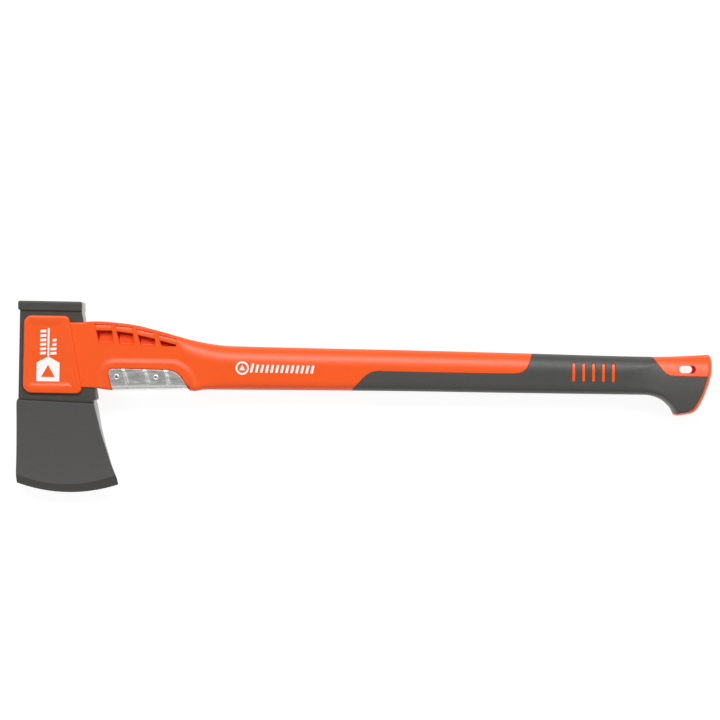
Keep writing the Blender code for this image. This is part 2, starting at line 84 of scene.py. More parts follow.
# Head.
FLANGE_HALF, NECK_HALF, SHOULDER_HALF = 16.25, 14.0, 18.0
FLANGE_FOOT, NECK_TOP = 54.2, 52.8
HEAD_LEFT = [
    (5.2, 63.2), (4, 62.7), (3.4, 61.5), (3.4, 55.6), (4, 54.5), (5.2, 53.8), (5.2, -34.9), (4.3, -36.6),
    (3.7, -39.5), (2.35, -109), (2.6, -116),
]
CUTTING_EDGE = [(3.3, -120.2), (105.8, -120.3), 8.65]
HEEL = [
    (104.2, -113.7), (99.1, -101.7), (95.1, -89.7), (91.2, -77.6), (87.7, -65.6), (84.8, -53.5),
    (81.4, -38.9),
]
HEAD_RIGHT = [
    (81.1, -37), (81.2, -35.4), (82.3, -35), (82.9, -34.2), (83, -33), (68.5, 47), (67.3, 52.8),
    (67.6, 54.6), (67.6, 61.5), (67, 62.7), (65.6, 63.2),
]
SHOULDER_TOP = [(3, -34.9), (83, -37.5)]
SHOULDER = [(2, -36.3), (84, -38.9)]
SHOULDER_ROUND = 0.8
BEVEL = [(1, -111), (105, -110), 10.4]
BEVEL_HALF, EDGE_HALF, BLADE_TAPER = 2.2, 0.15, 1.6
FLANGE_ROUND, EDGE_ROUND, HEAD_ROUND, ROUND_OF_HALF = 1.4, 0.02, 0.9, 0.25
EYE_LOW, EYE_HIGH, EYE_HALF, EYE_ROUND = -21, 41, 11, 4
ACROSS_HEAD = (-5, 115)
# Painted shade on the head's side wall, round the step from neck to blade, where the collar above shades it.
SHADED_WALL_FROM_X, SHADED_WALL_Y, SHADED_WALL_HALF = 70, -28, 7.5
TONGUE_START, TONGUE_END, TONGUE_GAP = 6, 67, 0.3

# Cheek plate and the room it leaves for the head's neck.
PLATE = [((10.1, 48.7), 7.5), ((54.6, 48.7), 5), ((69.9, -29.1), 5.5), ((10.1, -29.1), 8.5)]
PLATE_EDGE = 1.6
PANEL = [(19.2, 38.7), (45.7, 39), (54.8, -17.8), (19.4, -18.2)]
PANEL_SLOPE, PANEL_DEPTH = 4, 1.2
OVER_NECK = NECK_HALF + 0.2
HEAD_LINE = [(66.5, 58), (87.4, -40)]
FOOT = 0.6

# Handle outline, in the side view.
TOP_EDGE = [
    (50, 42.3), (69, 42.5), (72, 42.9), (76, 43.5), (88, 43.8), (100.5, 43), (114.6, 41.7), (126.7, 39.6),
    (138.9, 36.7), (151, 33.7), (163, 30.5), (175.5, 27.3), (187.6, 24.9), (199.8, 23), (212, 21.8),
    (236, 21.4), (287, 21.1), (388, 20.8), (489, 20.1), (590, 19), (630, 18.8), (650, 19), (670, 19.9),
    (690, 21.3), (697.2, 21.9),
]
BUTT_EDGE = [
    (697.2, 21.9), (698.9, 21.7), (700.4, 20.7), (701.5, 18.3), (702.15, 13.9), (702.35, 9.3), (702.1, 4.2),
    (701.4, 0.2), (699.3, -7.6), (697.2, -13.5), (694.5, -20.5), (690.3, -29), (687.2, -33.7),
    (684.6, -35.9), (680.9, -37.8), (671.9, -39.5), (667.4, -40), (665.4, -39.5), (664.4, -37.7),
    (663.1, -34.9), (662, -32.9), (658.4, -29), (653.2, -24.7), (646.4, -21.6), (638.6, -19.9),
    (630, -19.7),
]
BELLY_EDGE = [
    (630, -19.7), (590, -19.9), (489, -20.4), (388, -20.7), (287, -21.7), (236, -22.3), (204, -22.6),
    (192.6, -22.8), (188, -23.3), (182.5, -24.4), (176.6, -23.9),
]
UNDER_GUARD = [(176.2, -20.4), (98.9, -22.9)]
FRONT_BELLY = [(98.6, -25), (92, -24.4), (84, -23.2), (79, -22.7), (50, -22.6)]
HALF_WIDTH = [
    (50, 15.8), (150, 15.8), (185, 14.7), (235, 13.2), (300, 12.6), (570, 12.6), (620, 13.6), (645, 15),
    (668, 15.6), (705, 15.6),
]
# What the butt adds to that, by height: it is thickest at its toe.
BUTT_WIDTH = [
    (-45, 2.4), (-26, 2.4), (-18, 2.1), (-10, 1.3), (-5, 0.6), (-1, 0), (3, -0.75), (6, -1.45), (9, -2.3),
    (11, -3), (13, -3.9), (15, -5), (17, -6.4), (19, -8.1), (22, -10.9),
]
BUTT_FROM, BUTT_EASE = 606, 50
# The rim's rounding is a quarter of an ellipse: how far it reaches in, and how far it falls.
REACH_TOP = [
    (50, 1.2), (80, 2.4), (150, 2.4), (158, 3), (166, 8), (176, 16), (190, 18.5), (240, 19), (606, 18),
    (631, 13.5), (656, 3), (705, 3),
]
FALL_TOP = [
    (50, 1.2), (80, 1.6), (150, 1.6), (158, 2.5), (166, 5.5), (176, 8.5), (190, 10.5), (212, 12), (606, 12),
    (631, 8), (656, 3.5), (705, 3.5),
]
REACH_LOW = [
    (50, 1.2), (80, 1.2), (95, 3.5), (130, 4.5), (176, 5), (210, 8), (240, 9), (600, 9), (640, 6),
    (665, 4.5), (705, 4.5),
]
FALL_LOW = [
    (50, 1.2), (80, 1.2), (95, 3.5), (130, 4.5), (176, 5), (210, 9.5), (240, 10.5), (600, 10.5), (640, 11),
    (665, 12.5), (705, 12.5),
]
END_REACH, END_FALL = 5.5, 14
END_FROM, END_LEAN, END_EASE = 690.5, 0.19, 6  # where the end's own rounding starts, and how it leans
LEAST_ROUND = 0.8
LEAST_WALL = 0.4
RIM_ANGLES = np.radians((7, 15, 24, 33, 42, 52, 63, 76, 90))

# Windows in the neck: a leaning bar, then below it a pocket with a raised tray. Corners run from the top
# left clockwise.
BARS_AT = [
    [(80.6, 41), (97.2, 40.7), (98.3, 34.9), (82, 34.9)],
    [(100.9, 40), (118, 38.7), (119.4, 32.3), (102.5, 34.4)],
    [(122.2, 37), (140.2, 33.4), (141.4, 27.3), (123.9, 31.1)],
    [(144.8, 31.5), (163, 28.2), (162.5, 21.9), (145.8, 26.1)],
]
# The lower corners of each pocket, with their rounding; the upper ones are the foot of its bar.
POCKET_FEET = [
    [((100.4, 22.1), 2), ((85.3, 21.9), 2)], [((121.7, 20.9), 2), ((106, 20.8), 2)],
    [((142.6, 20.1), 2), ((127.1, 19.9), 2)], [((162.8, 20.1), 0.6), ((148.4, 19.8), 1.8)],
]
POCKET_TOP_ROUND = 0.2
TRAYS = [
    [((84.7, 33), 0.3), ((99.6, 32.9), 0.3), ((101.6, 21), 0.3), ((85.1, 20.8), 0.3)],
    [((104.9, 32.2), 0.3), ((120.8, 30.2), 0.3), ((122.9, 19.8), 0.3), ((105.7, 19.7), 0.3)],
    [((126.4, 28.6), 0.3), ((142.8, 24.9), 0.3), ((143.9, 19), 0.3), ((126.9, 18.9), 0.3)],
    [((148, 23.4), 0.2), ((158.8, 20.9), 0.1), ((158.2, 19), 0.1), ((147.8, 18.8), 0.3)],
]
WINDOWS_FROM_X, WINDOWS_TO_X, WINDOWS_FROM_Y = 65, 176, 15  # nothing of the windows lies outside this
# The bar's lower corners, moved by this much so that its face runs on under the pocket's edge.
BAR_FOOT = [(-0.5, -1.5), (0.9, -1.5)]
BAR_SUNK, BAR_CURVE, BAR_LEVEL, BAR_EDGE = 0.45, 1.3, 0.15, 0.35
POCKET_WALL, POCKET_SWEEP, SWEEP_FADE = 0.3, 1.5, 4.5
CHANNEL_HALF, TRAY_HALF, TRAY_ROUND = 4.5, 8.4, 0.8
CREST = [
    (69.5, 41.8), (80.5, 42.1), (97.4, 41.8), (101, 41.3), (118, 39.5), (122, 38.7), (140, 35), (145, 33.8),
    (163, 29.4), (172, 27.2),
]
CREST_DEPTH, CREST_HALF = 0.6, 0.4

# Raised pad round the strike guard, and the guard.
PAD = [
    (85, -40), (84.6, -22), (84.5, -10), (85.3, -4.2), (87.8, 1), (91.5, 4.9), (97.9, 7.1), (110, 7.7),
    (130, 7.9), (154, 8.1), (161.8, 7.6), (168.9, 5.3), (177.2, -0.6), (181.2, -5.6), (184.4, -12.5),
    (188.3, -21.5), (192, -31), (195, -40),
]
PAD_SLOPE, PAD_RISE = 5.8, 1.35
GUARD_OUTLINE = [
    (101.1, -32), (99.5, -24.5), (95.7, -7), (96.1, -5.1), (97.4, -3.9), (99.5, -3.6), (154.9, -4),
    (158.8, -4.6), (162.8, -6.3), (167.3, -9.8), (171.3, -15.4), (175.1, -21.6), (181.5, -32),
]
GUARD_BELLY = [(90, -25.7), (185, -22.6)]
GUARD_HALF, GUARD_SHEET, GUARD_BEND, GUARD_GAP, GUARD_ROOM = 17.1, 1.2, 6.2, 1, 1.2
GUARD_BEVEL, GUARD_BEVEL_WIDTH = 0.08, 0.6
TAB_CENTRES, TAB_WIDTH, TAB_RISE, TAB_TILT, TAB_FOLD = [110.2, 131.3, 152.4], 3.9, 1.2, 0.7, 0.6
GROOVES = [[(111.7, -7.2), (115.2, -19.5)], [(133.3, -7.7), (136.5, -19.7)], [(153.7, -8), (156.7, -19.3)]]
# The last is the share of the bend that the painted highlight covers.
GROOVE_HALF, GROOVE_RISE, GROOVE_EASE, HIGHLIGHT_BEND = 2.3, 0.4, 5, 0.7
RIVETS = {"front": (103.9, -11.6), "rear": (143.1, -11.4)}
RIVET_PROFILE = [
    (1.3, 17.45), (1.4, 17.7), (1.7, 17.88), (2.1, 17.9), (2.5, 17.8), (2.8, 17.6), (2.9, 17.4),
    (2.85, 17.25), (2, 17.2), (2, 15.6),
]
RIVET_HOLE = 2.2
# Round a tab: points dropped beside it, its narrower top, the strip that bends, and how near the edge is.
TAB_NEAR, TAB_CHAMFER, TAB_EDGE, TAB_BELOW = 0.3, 0.3, 0.1, 2
GROOVE_END = 1.6  # how much further on a rib lies once it has turned under
GROOVE_STEPS = (-1, -0.66, -0.33, 0, 0.33, 0.66, 1)
HIGHLIGHT_ABOVE, HIGHLIGHT_GROOVE = 1, 0.8  # painted highlight: from this far above the bend, and this share of a rib

# Grip and butt.
GRIP_EDGE = [
    (334, -30), (337.6, -23), (340.4, -19.6), (347, -12.5), (353.3, -5.9), (359.7, -2), (366, -0.8),
    (376, -0.9), (492, -0.9), (503.8, -0.6), (508.9, 0.4), (514.1, 3.6), (517.2, 8.8), (518.8, 13.9),
    (520.2, 19.1), (521.6, 30),
]
GRIP_REAR = [
    (632.9, 30), (641.2, 19.3), (647, 11.4), (651.8, 5), (656.7, 1.1), (661.9, -0.1), (670, -0.3),
    (690, -0.3), (740, -0.3),
]
GRIP_BELOW = [(740, -60), (334, -60)]
GRIP_ABOVE = [(521.6, 60), (632, 60)]
GRIP_FROM_X, CAP_FROM_X = 325, 652
GRIP_INNER, CORE_INSET = 2.5, 2.8
SEAM, SEAM_ROUND = 0.12, 0.4
RIM_SEAM, RIM_SEAM_ROUND = 0.06, 0.2
BAR_COUNT, BAR_FIRST_X, BAR_STEP, BAR_Y = 5, 562.4, 9.95, 1.7
BAR_LENGTH, BAR_WIDTH, BAR_SINK = 19, 3.4, 0.6
# The grip's bars: their rounding, the gap round each, its outer rounding, and where a middle row lies.
BAR_ROUND, BAR_CLEAR, BAR_HOLE_ROUND, BAR_MIDDLE = 0.5, 0.1, 0.4, 0.3
SLOT_CENTRE, SLOT_LENGTH, SLOT_WIDTH, SLOT_LEAD = (676.2, 6.6), 16.8, 7.6, 0.8
# The joint between the handle and the butt cap, from its lower end to its upper one.
RIM_EDGE = [
    (650, -38.6), (662.6, -38.3), (666.5, -37.8), (672.8, -36.8), (676.6, -36), (679.2, -35),
    (681.7, -33.3), (684.2, -30.2), (687.9, -23.7), (691.6, -15.9), (694.6, -6.9), (696.4, -1.1),
    (697.6, 3.4), (698.4, 9.8), (698.3, 14.9), (697.8, 18.8), (697, 21.8), (695.6, 26), (695, 60),
]
RIM_FAR = [(760, 60), (760, -60), (650, -60)]
RIM_JOINT = (RIM_SEAM, RIM_SEAM_ROUND)

# Printed marks: plain shapes, with no lettering.
ARROW_MARK = [(23.4, -17.2), (46.4, -17.2), (46.4, 1.5), (34.9, 7.6), (23.4, 1.5)]
ARROW_HOLE = [(28, -13), (41.8, -13), (34.9, -0.6)]
MARK_LINE_X, MARK_LINE_TOP, MARK_LINE_HALF = 34.9, 36.2, 0.9
MARK_TICKS = [(29.6, y, 6) for y in (11.2, 15.6, 20, 24.4, 28.8, 33.2)]
MARK_TICKS += [(40, 11.2, 6), (40, 15.6, 6), (40.9, 20, 4), (40.9, 24.4, 4)]
TICK_HALF, TICK_LEAN, MARK_ROUND, STRIPE_ROUND = 1.3, 0.5, 0.4, 0.6
MARK_APART = 0.05  # between the arrow's point and the line above it
DISC_CENTRE, DISC_RADIUS, DISC_RING = (229.3, -0.3), 6.7, 4.9
DISC_MARK = [(-2.9, -2.2), (2.9, -2.2), (0, 3.4)]
STRIPE_FIRST_X, STRIPE_STEP, STRIPE_LEAN, STRIPE_HALF = 239.2, 5.05, 0.22, 1.25
STRIPES = [(-4.6, 4.6)] + [(-4.5, 3.5)] * 12


def to_row(points):
    """Points of the side view, in millimetres, as points of the row frame."""
    origin = np.array([FRONT_X, EDGE_Y, -HALF_THICKNESS])
    return (np.asarray(points, float) - origin) * MM + np.array(CAD_LOW)


# ---- Plane geometry ----


def through(points, spacing=LINE_SPACING):
    """A smooth line through the points, as a centripetal Catmull-Rom spline."""
    known = np.array(points, float)
    known = np.vstack([2 * known[0] - known[1], known, 2 * known[-1] - known[-2]])
    knots = np.concatenate([[0], np.cumsum(np.sqrt(np.linalg.norm(np.diff(known, axis=0), axis=1)))])
    line = []
    for i in range(1, len(known) - 2):
        count = max(2, int(np.ceil(np.linalg.norm(known[i + 1] - known[i]) / spacing)))
        for t in np.linspace(knots[i], knots[i + 1], count, endpoint=False):
            a = [blend(known[j], known[j + 1], knots[j], knots[j + 1], t) for j in (i - 1, i, i + 1)]
            b = [blend(a[j], a[j + 1], knots[i - 1 + j], knots[i + 1 + j], t) for j in (0, 1)]
            line.append(blend(b[0], b[1], knots[i], knots[i + 1], t))
    return np.vstack([line, known[-2]])


def blend(a, b, start, end, t):
    return (a * (end - t) + b * (t - start)) / (end - start)


def divided(points, spacing=LINE_SPACING, closed=False):
    """The same line with its long segments cut into short ones."""
    points = np.array(points, float)
    ends = np.roll(points, -1, axis=0) if closed else points[1:]
    line = []
    for start, end in zip(points, ends):
        count = max(1, int(np.ceil(np.linalg.norm(end - start) / spacing)))
        line += [start + (end - start) * i / count for i in range(count)]
    return np.array(line if closed else line + [points[-1]])


def rounded(corners, steps=6, spacing=LINE_SPACING):
    """A closed outline whose corners, given as (point, radius), are rounded by arcs."""
    outline = []
    count = len(corners)
    for i, (point, radius) in enumerate(corners):
        here = Vector(point)
        back = (Vector(corners[i - 1][0]) - here).normalized()
        ahead = (Vector(corners[(i + 1) % count][0]) - here).normalized()
        half_angle = back.angle(ahead) / 2
        centre = here + (back + ahead).normalized() * radius / np.sin(half_angle)
        first = (here + back * radius / np.tan(half_angle) - centre).normalized()
        last = (here + ahead * radius / np.tan(half_angle) - centre).normalized()
        outline += [centre + first.slerp(last, step / steps) * radius for step in range(steps + 1)]
    return divided([tuple(p) for p in outline], spacing, closed=True)


def sagging(start, end, sag, spacing=EDGE_SPACING):
    """A shallow arc from start to end that hangs below the straight line by sag."""
    start, end = np.array(start), np.array(end)
    count = int(np.linalg.norm(end - start) / spacing)
    shares = np.linspace(0, 1, count + 1)[:, None]
    return start + (end - start) * shares - np.array([0, 4 * sag]) * shares * (1 - shares)


def circle(centre, radius, steps=28):
    angles = np.linspace(0, 2 * np.pi, steps, endpoint=False)
    return np.column_stack([centre[0] + radius * np.cos(angles), centre[1] + radius * np.sin(angles)])


def round_slot(centre, length, width, steps=8):
    """A round-ended slot along X."""
    radius = width / 2
    reach = length / 2 - radius
    outline = []
    for side in (1, -1):
        for angle in np.linspace(-np.pi / 2, np.pi / 2, steps + 1):
            x = centre[0] + side * (reach + radius * np.cos(angle))
            outline.append((x, centre[1] + side * radius * np.sin(angle)))
    return divided(outline, closed=True)


def upright(outline, centre):
    """An outline drawn lying at the origin, stood up at centre."""
    return np.column_stack([centre[0] - outline[:, 1], centre[1] + outline[:, 0]])


def unit(vectors):
    return vectors / np.linalg.norm(vectors, axis=1)[:, None]


def left_of(vectors):
    """The vectors, a quarter turn to their left."""
    return np.column_stack([-vectors[:, 1], vectors[:, 0]])


def offset(line, distance, closed=True):
    """The line moved to its left by distance."""
    before = line - np.roll(line, 1, axis=0)
    after = np.roll(line, -1, axis=0) - line
    if not closed:
        before[0], after[-1] = after[0], before[-1]
    before, after = unit(before), unit(after)
    middle = unit(before + after)
    stretch = np.maximum((middle * before).sum(axis=1), LEAST_MITRE)
    return line + left_of(middle) * (distance / stretch)[:, None]


def loops(line, distances, closed=True):
    """Copies of the line, these distances to its left, as lines for a slab."""
    return [(offset(line, distance, closed), closed) for distance in distances]


def quarter(radius, angles):
    """How far in from an edge its rounding has turned by these angles."""
    return radius * (1 - np.cos(angles))


def turned_left(outline):
    """The outline, running so that its inside lies on its left."""
    x, y = np.asarray(outline, float).T
    area = (x * np.roll(y, -1) - y * np.roll(x, -1)).sum()
    return np.asarray(outline, float)[:: 1 if area > 0 else -1]


def nearest(points, line, closed=True, carried=None):
    """Each point's distance to the line, and what the line's corners carry, read there."""
    line = np.asarray(line, float)
    starts = line if closed else line[:-1]
    ends = np.roll(line, -1, axis=0) if closed else line[1:]
    along = ends - starts
    squares = np.maximum((along**2).sum(axis=1), 1e-12)
    low_x, high_x = np.minimum(starts[:, 0], ends[:, 0]), np.maximum(starts[:, 0], ends[:, 0])
    distance = np.full(len(points), REACH)
    value = None if carried is None else np.ones((len(points), carried.shape[1]))
    for chunk in np.array_split(np.argsort(points[:, 0]), len(points) // CHUNK + 1):
        if len(chunk) == 0:
            continue
        x = points[chunk, 0]
        near = np.flatnonzero((low_x < x.max() + REACH) & (high_x > x.min() - REACH))
        if len(near) == 0:
            continue
        across = points[chunk][:, None] - starts[near]
        share = np.clip((across * along[near]).sum(axis=2) / squares[near], 0, 1)
        across -= share[..., None] * along[near]
        found = (across**2).sum(axis=2)
        best = found.argmin(axis=1)
        rows = np.arange(len(chunk))
        distance[chunk] = np.minimum(np.sqrt(found[rows, best]), REACH)
        if carried is not None:
            start = near[best]
            end = (start + 1) % len(line)
            value[chunk] = carried[start] + (carried[end] - carried[start]) * share[rows, best][:, None]
    return distance, value


def away(points, line, closed=True):
    """Each point's distance to the line."""
    return nearest(points, line, closed)[0]


def inside(points, outline):
    """Which points lie inside a closed outline."""
    outline = np.asarray(outline, float)
    low, high = outline.min(axis=0), outline.max(axis=0)
    found = np.zeros(len(points), bool)
    candidates = np.flatnonzero(((points > low) & (points < high)).all(axis=1))
    x1, y1 = outline.T
    x2, y2 = np.roll(outline, -1, axis=0).T
    for chunk in np.array_split(candidates, len(candidates) // CHUNK + 1):
        x, y = points[chunk].T[..., None]
        crossing = (y1 > y) != (y2 > y)
        rise = np.where(y2 == y1, 1.0, y2 - y1)
        crossing &= x < x1 + (y - y1) * (x2 - x1) / rise
        found[chunk] = crossing.sum(axis=1) % 2 == 1
    return found


def within(points, outline, holes):
    """Which points lie inside the outline and outside all the holes."""
    found = inside(points, outline)
    for hole in holes:
        found &= ~inside(points, hole)
    return found


def depth(points, outline):
    """How far inside a closed outline each point lies; outside it is negative."""
    distance = away(points, outline)
    return np.where(inside(points, outline), distance, -distance)


def read(table, x):
    """A smooth curve through the table's points, without overshoot, read at x."""
    xs, ys = np.array(table, float).T
    steps = np.diff(ys) / np.diff(xs)
    before, after = steps[:-1], steps[1:]
    turning = before * after <= 0
    inner = np.where(turning, 0.0, 2 * before * after / np.where(turning, 1.0, before + after))
    slopes = np.concatenate([steps[:1], inner, steps[-1:]])
    i = np.clip(np.searchsorted(xs, x) - 1, 0, len(xs) - 2)
    width = xs[i + 1] - xs[i]
    t = np.clip((x - xs[i]) / width, 0, 1)
    start = ys[i] * (1 + 2 * t) * (1 - t) ** 2 + slopes[i] * width * t * (1 - t) ** 2
    return start + ys[i + 1] * t**2 * (3 - 2 * t) + slopes[i + 1] * width * t**2 * (t - 1)


def ramp(value, width):
    return np.clip(value / width, 0, 1)


def eased(value, width):
    t = ramp(value, width)
    return t * t * (3 - 2 * t)


def edge_drop(distance, radius):
    """How far a rounded edge has fallen at this distance in from it."""
    short = radius - np.clip(distance, 0, radius)
    return radius - np.sqrt(np.maximum(radius**2 - short**2, 0))


# ---- Slabs ----


def apart(points, lines, least=LEAST_GAP):
    """The points that aren't almost on one of the lines."""
    for line, closed in lines:
        points = points[away(points, line, closed) > least]
    return points


def fill_points(outline, lines, spacing, wanted=None):
    """An even spread of points inside the outline, clear of the lines, where they are wanted."""
    low, high = outline.min(axis=0), outline.max(axis=0)
    rows = []
    for row, y in enumerate(np.arange(low[1], high[1], spacing * ROW_SHARE)):
        rows += [(x, y) for x in np.arange(low[0] + spacing / 2 * (row % 2), high[0], spacing)]
    points = np.array(rows)
    points = apart(points[inside(points, outline)], lines, CLEAR_SHARE * spacing)
    return points[wanted(points)] if wanted else points


def triangulated(lines, points):
    """Points and triangles of the side view, with every line kept as edges of the triangles."""
    corners, edges = [], []
    for line, closed in lines:
        first, count = len(corners), len(line)
        corners += [Vector(p) for p in line]
        edges += [(first + i, first + (i + 1) % count) for i in range(count if closed else count - 1)]
    corners += [Vector(p) for p in points]
    found, _, faces, *_ = delaunay_2d_cdt(corners, edges, [], 0, MERGED, False)
    return np.array([tuple(p) for p in found]), np.array(faces)


def new_mesh(name, points, faces):
    """A mesh from points of the side view."""
    mesh = bpy.data.meshes.new(name)
    mesh.from_pydata(to_row(points).tolist(), [], [[int(i) for i in f] for f in faces])
    return mesh


def placed(name, data):
    """A new object in the scene."""
    obj = bpy.data.objects.new(name, data)
    bpy.context.scene.collection.objects.link(obj)
    return obj


def top_normals(flat, faces, top):
    """A normal for each corner of each top face, read from the height function just inside the face."""
    corners = flat[faces]
    inward = corners.mean(axis=1, keepdims=True) - corners
    length = np.linalg.norm(inward, axis=2, keepdims=True)
    share = np.minimum(PROBE / np.maximum(length, 1e-9), PROBE_SHARE)
    spots = (corners + inward * share).reshape(-1, 2)
    here = top(spots)
    slope_x = (top(spots + [PROBE_STEP, 0]) - here) / PROBE_STEP
    slope_y = (top(spots + [0, PROBE_STEP]) - here) / PROBE_STEP
    normals = unit(np.column_stack([-slope_x, -slope_y, np.ones(len(spots))]))
    # Corners that nearly agree share one normal, so that only true creases are split.
    index = faces.reshape(-1)
    total = np.zeros((len(flat), 3))
    np.add.at(total, index, normals)
    total /= np.maximum(np.linalg.norm(total, axis=1), 1e-9)[:, None]
    agree = (normals * total[index]).sum(axis=1)
    worst = np.ones(len(flat))
    np.minimum.at(worst, index, agree)
    smooth = worst[index] > np.cos(SMOOTH_ANGLE)
    normals[smooth] = total[index[smooth]]
    return normals.reshape(-1, 3, 3)


def slab(name, lines, points, chosen, top, hollow=None, inner=None, paint=None, wall_paint=None):
    """A closed body, alike on both sides of the mid-plane, over the chosen triangles of the side view.

    top gives its half-thickness. Where hollow is true it has a cavity, whose half-height inner gives.
    paint and wall_paint number the material of each face, and of each wall between the two sides.
    """
    flat, faces = triangulated(lines, points)
    centres = flat[faces].mean(axis=1)
    keep = chosen(centres)
    faces, centres = faces[keep], centres[keep]
    used, index = np.unique(faces, return_inverse=True)
    flat, faces = flat[used], index.reshape(-1, 3)
    high = top(flat)
    is_hollow = hollow(centres) if hollow else np.zeros(len(faces), bool)
    count = len(flat)
    levels = [high, -high]
    holed = np.zeros(count, bool)
    if is_hollow.any():
        holed[np.unique(faces[is_hollow])] = True
        cavity = np.minimum(inner(flat), high - LEAST_SKIN)
        levels += [cavity, -cavity]
    verts = np.vstack([np.column_stack([flat, level]) for level in levels])
    # Numbers of the four vertices above each other: outer top and bottom, inner top and bottom.
    outer_low, inner_top, inner_low = count, 2 * count, 3 * count
    shown = [*faces, *(faces[:, ::-1] + outer_low)]
    inner_faces = [*(faces[is_hollow][:, ::-1] + inner_top), *(faces[is_hollow] + inner_low)]
    owner = {}
    for face, hole in zip(faces.tolist(), is_hollow.tolist()):
        for i in range(3):
            owner[(face[i], face[(i + 1) % 3])] = hole
    walls, wall_spots = [], []
    for (start, end), hole in owner.items():
        other = owner.get((end, start))
        if other is None and hole:
            walls.append((end, start, start + inner_top, end + inner_top))
            walls.append((end + inner_low, start + inner_low, start + outer_low, end + outer_low))
            wall_spots += [(start, end)] * 2
        elif other is None:
            wall = [end, start]
            wall += [start + inner_top, start + inner_low] if holed[start] else []
            wall += [start + outer_low, end + outer_low]
            wall += [end + inner_low, end + inner_top] if holed[end] else []
            walls.append(wall)
            wall_spots.append((start, end))
        elif other and not hole:
            walls.append((end + inner_top, start + inner_top, start + inner_low, end + inner_low))
            wall_spots.append((start, end))
    every = shown + inner_faces + walls
    used = sorted({i for f in every for i in f})
    number = {old: new for new, old in enumerate(used)}
    mesh = new_mesh(name, verts[used], [[number[i] for i in f] for f in every])
    if paint:
        spots = flat[np.array(wall_spots)].mean(axis=1)
        plain = np.zeros(len(inner_faces), int)
        index = np.concatenate([paint(centres), paint(centres), plain, wall_paint(spots)])
        mesh.polygons.foreach_set("material_index", index.astype(np.int32))
    mesh.shade_smooth()
    mesh.set_sharp_from_angle(angle=SHARP_ANGLE)
    # The shown faces come first; a normal of zero leaves the other faces as they are.
    normals = np.zeros((len(mesh.loops), 3))
    upper = top_normals(flat, faces, top)
    lower = (upper * [1, 1, -1])[:, ::-1]
    normals[: 6 * len(faces)] = np.vstack([upper, lower]).reshape(-1, 3)
    mesh.normals_split_custom_set(normals.tolist())
    return placed(name, mesh)


# ---- Body of the handle, shared by the handle, the grip and the cap ----

BODY_LINE = np.vstack([
    through(TOP_EDGE), through(BUTT_EDGE, BUTT_SPACING)[1:], through(BELLY_EDGE)[1:], divided(UNDER_GUARD),
    divided(FRONT_BELLY),
])[::-1]
BODY_LINE[:, 0] = np.minimum(BODY_LINE[:, 0], BUTT_X)


def half_width(points):
    """Half-thickness of the handle away from its rim."""
    x, y = points.T
    return read(HALF_WIDTH, x) + read(BUTT_WIDTH, y) * eased(x - BUTT_FROM, BUTT_EASE)


def body_rounding():
    """At each corner of the body's line: how far its rounding reaches in, and how far it falls."""
    x, y = BODY_LINE.T
    reach = np.where(y > 0, read(REACH_TOP, x), read(REACH_LOW, x))
    fall = np.where(y > 0, read(FALL_TOP, x), read(FALL_LOW, x))
    # The change to the end's own rounding is eased round the two corners.
    at_end = eased(x - (END_FROM + y * END_LEAN), END_EASE)
    reach += (END_REACH - reach) * at_end
    fall += (END_FALL - fall) * at_end
    return np.column_stack([reach, np.minimum(fall, half_width(BODY_LINE) - LEAST_WALL)])


BODY_ROUNDING = body_rounding()


def body_height(points, inset=0.0):
    """Half-thickness of the plain handle, or of the shape at this depth below its surface."""
    distance, rounding = nearest(points, BODY_LINE, False, BODY_ROUNDING)
    reach, fall = np.maximum(rounding - inset, LEAST_ROUND).T
    short = 1 - np.clip((distance - inset) / reach, 0, 1)
    return half_width(points) - inset - fall * (1 - np.sqrt(np.maximum(1 - short**2, 0)))


def rim_points():
    """Rows of points that follow the rounded rim, closer together where it is steeper."""
    left = left_of(unit(np.gradient(BODY_LINE, axis=0)))
    rows = []
    for angle in RIM_ANGLES:
        distance = quarter(BODY_ROUNDING[:, 0], angle)
        row = BODY_LINE + left * distance[:, None]
        rows.append(row[away(row, BODY_LINE, False) > RIM_TRUE * distance])
    return np.vstack(rows)


def clear_of_rim(points):
    distance, rounding = nearest(points, BODY_LINE, False, BODY_ROUNDING)
    return distance > rounding[:, 0] + RIM_CLEAR


BEYOND_RIM = turned_left(np.vstack([through(RIM_EDGE), RIM_FAR]))
GRIP = turned_left(np.vstack([through(GRIP_EDGE), GRIP_ABOVE, through(GRIP_REAR), GRIP_BELOW]))
BARS = [
    turned_left(upright(round_slot((0, 0), BAR_LENGTH, BAR_WIDTH), (BAR_FIRST_X + i * BAR_STEP, BAR_Y)))
    for i in range(BAR_COUNT)
]
SLOT = turned_left(round_slot(SLOT_CENTRE, SLOT_LENGTH, SLOT_WIDTH))


def seam_drop(points, outline, gap=SEAM, radius=SEAM_ROUND):
    """The small rounding on either side of a joint between two mouldings."""
    return edge_drop(away(points, outline) - gap, radius)


def seam_rows(outline, side, gap=SEAM, radius=SEAM_ROUND):
    """Loops that carry the rounding on one side of a joint; side is 1 inside the outline."""
    return loops(outline, [side * (gap + radius * share) for share in ROUND_STEPS])


# ---- Handle ----

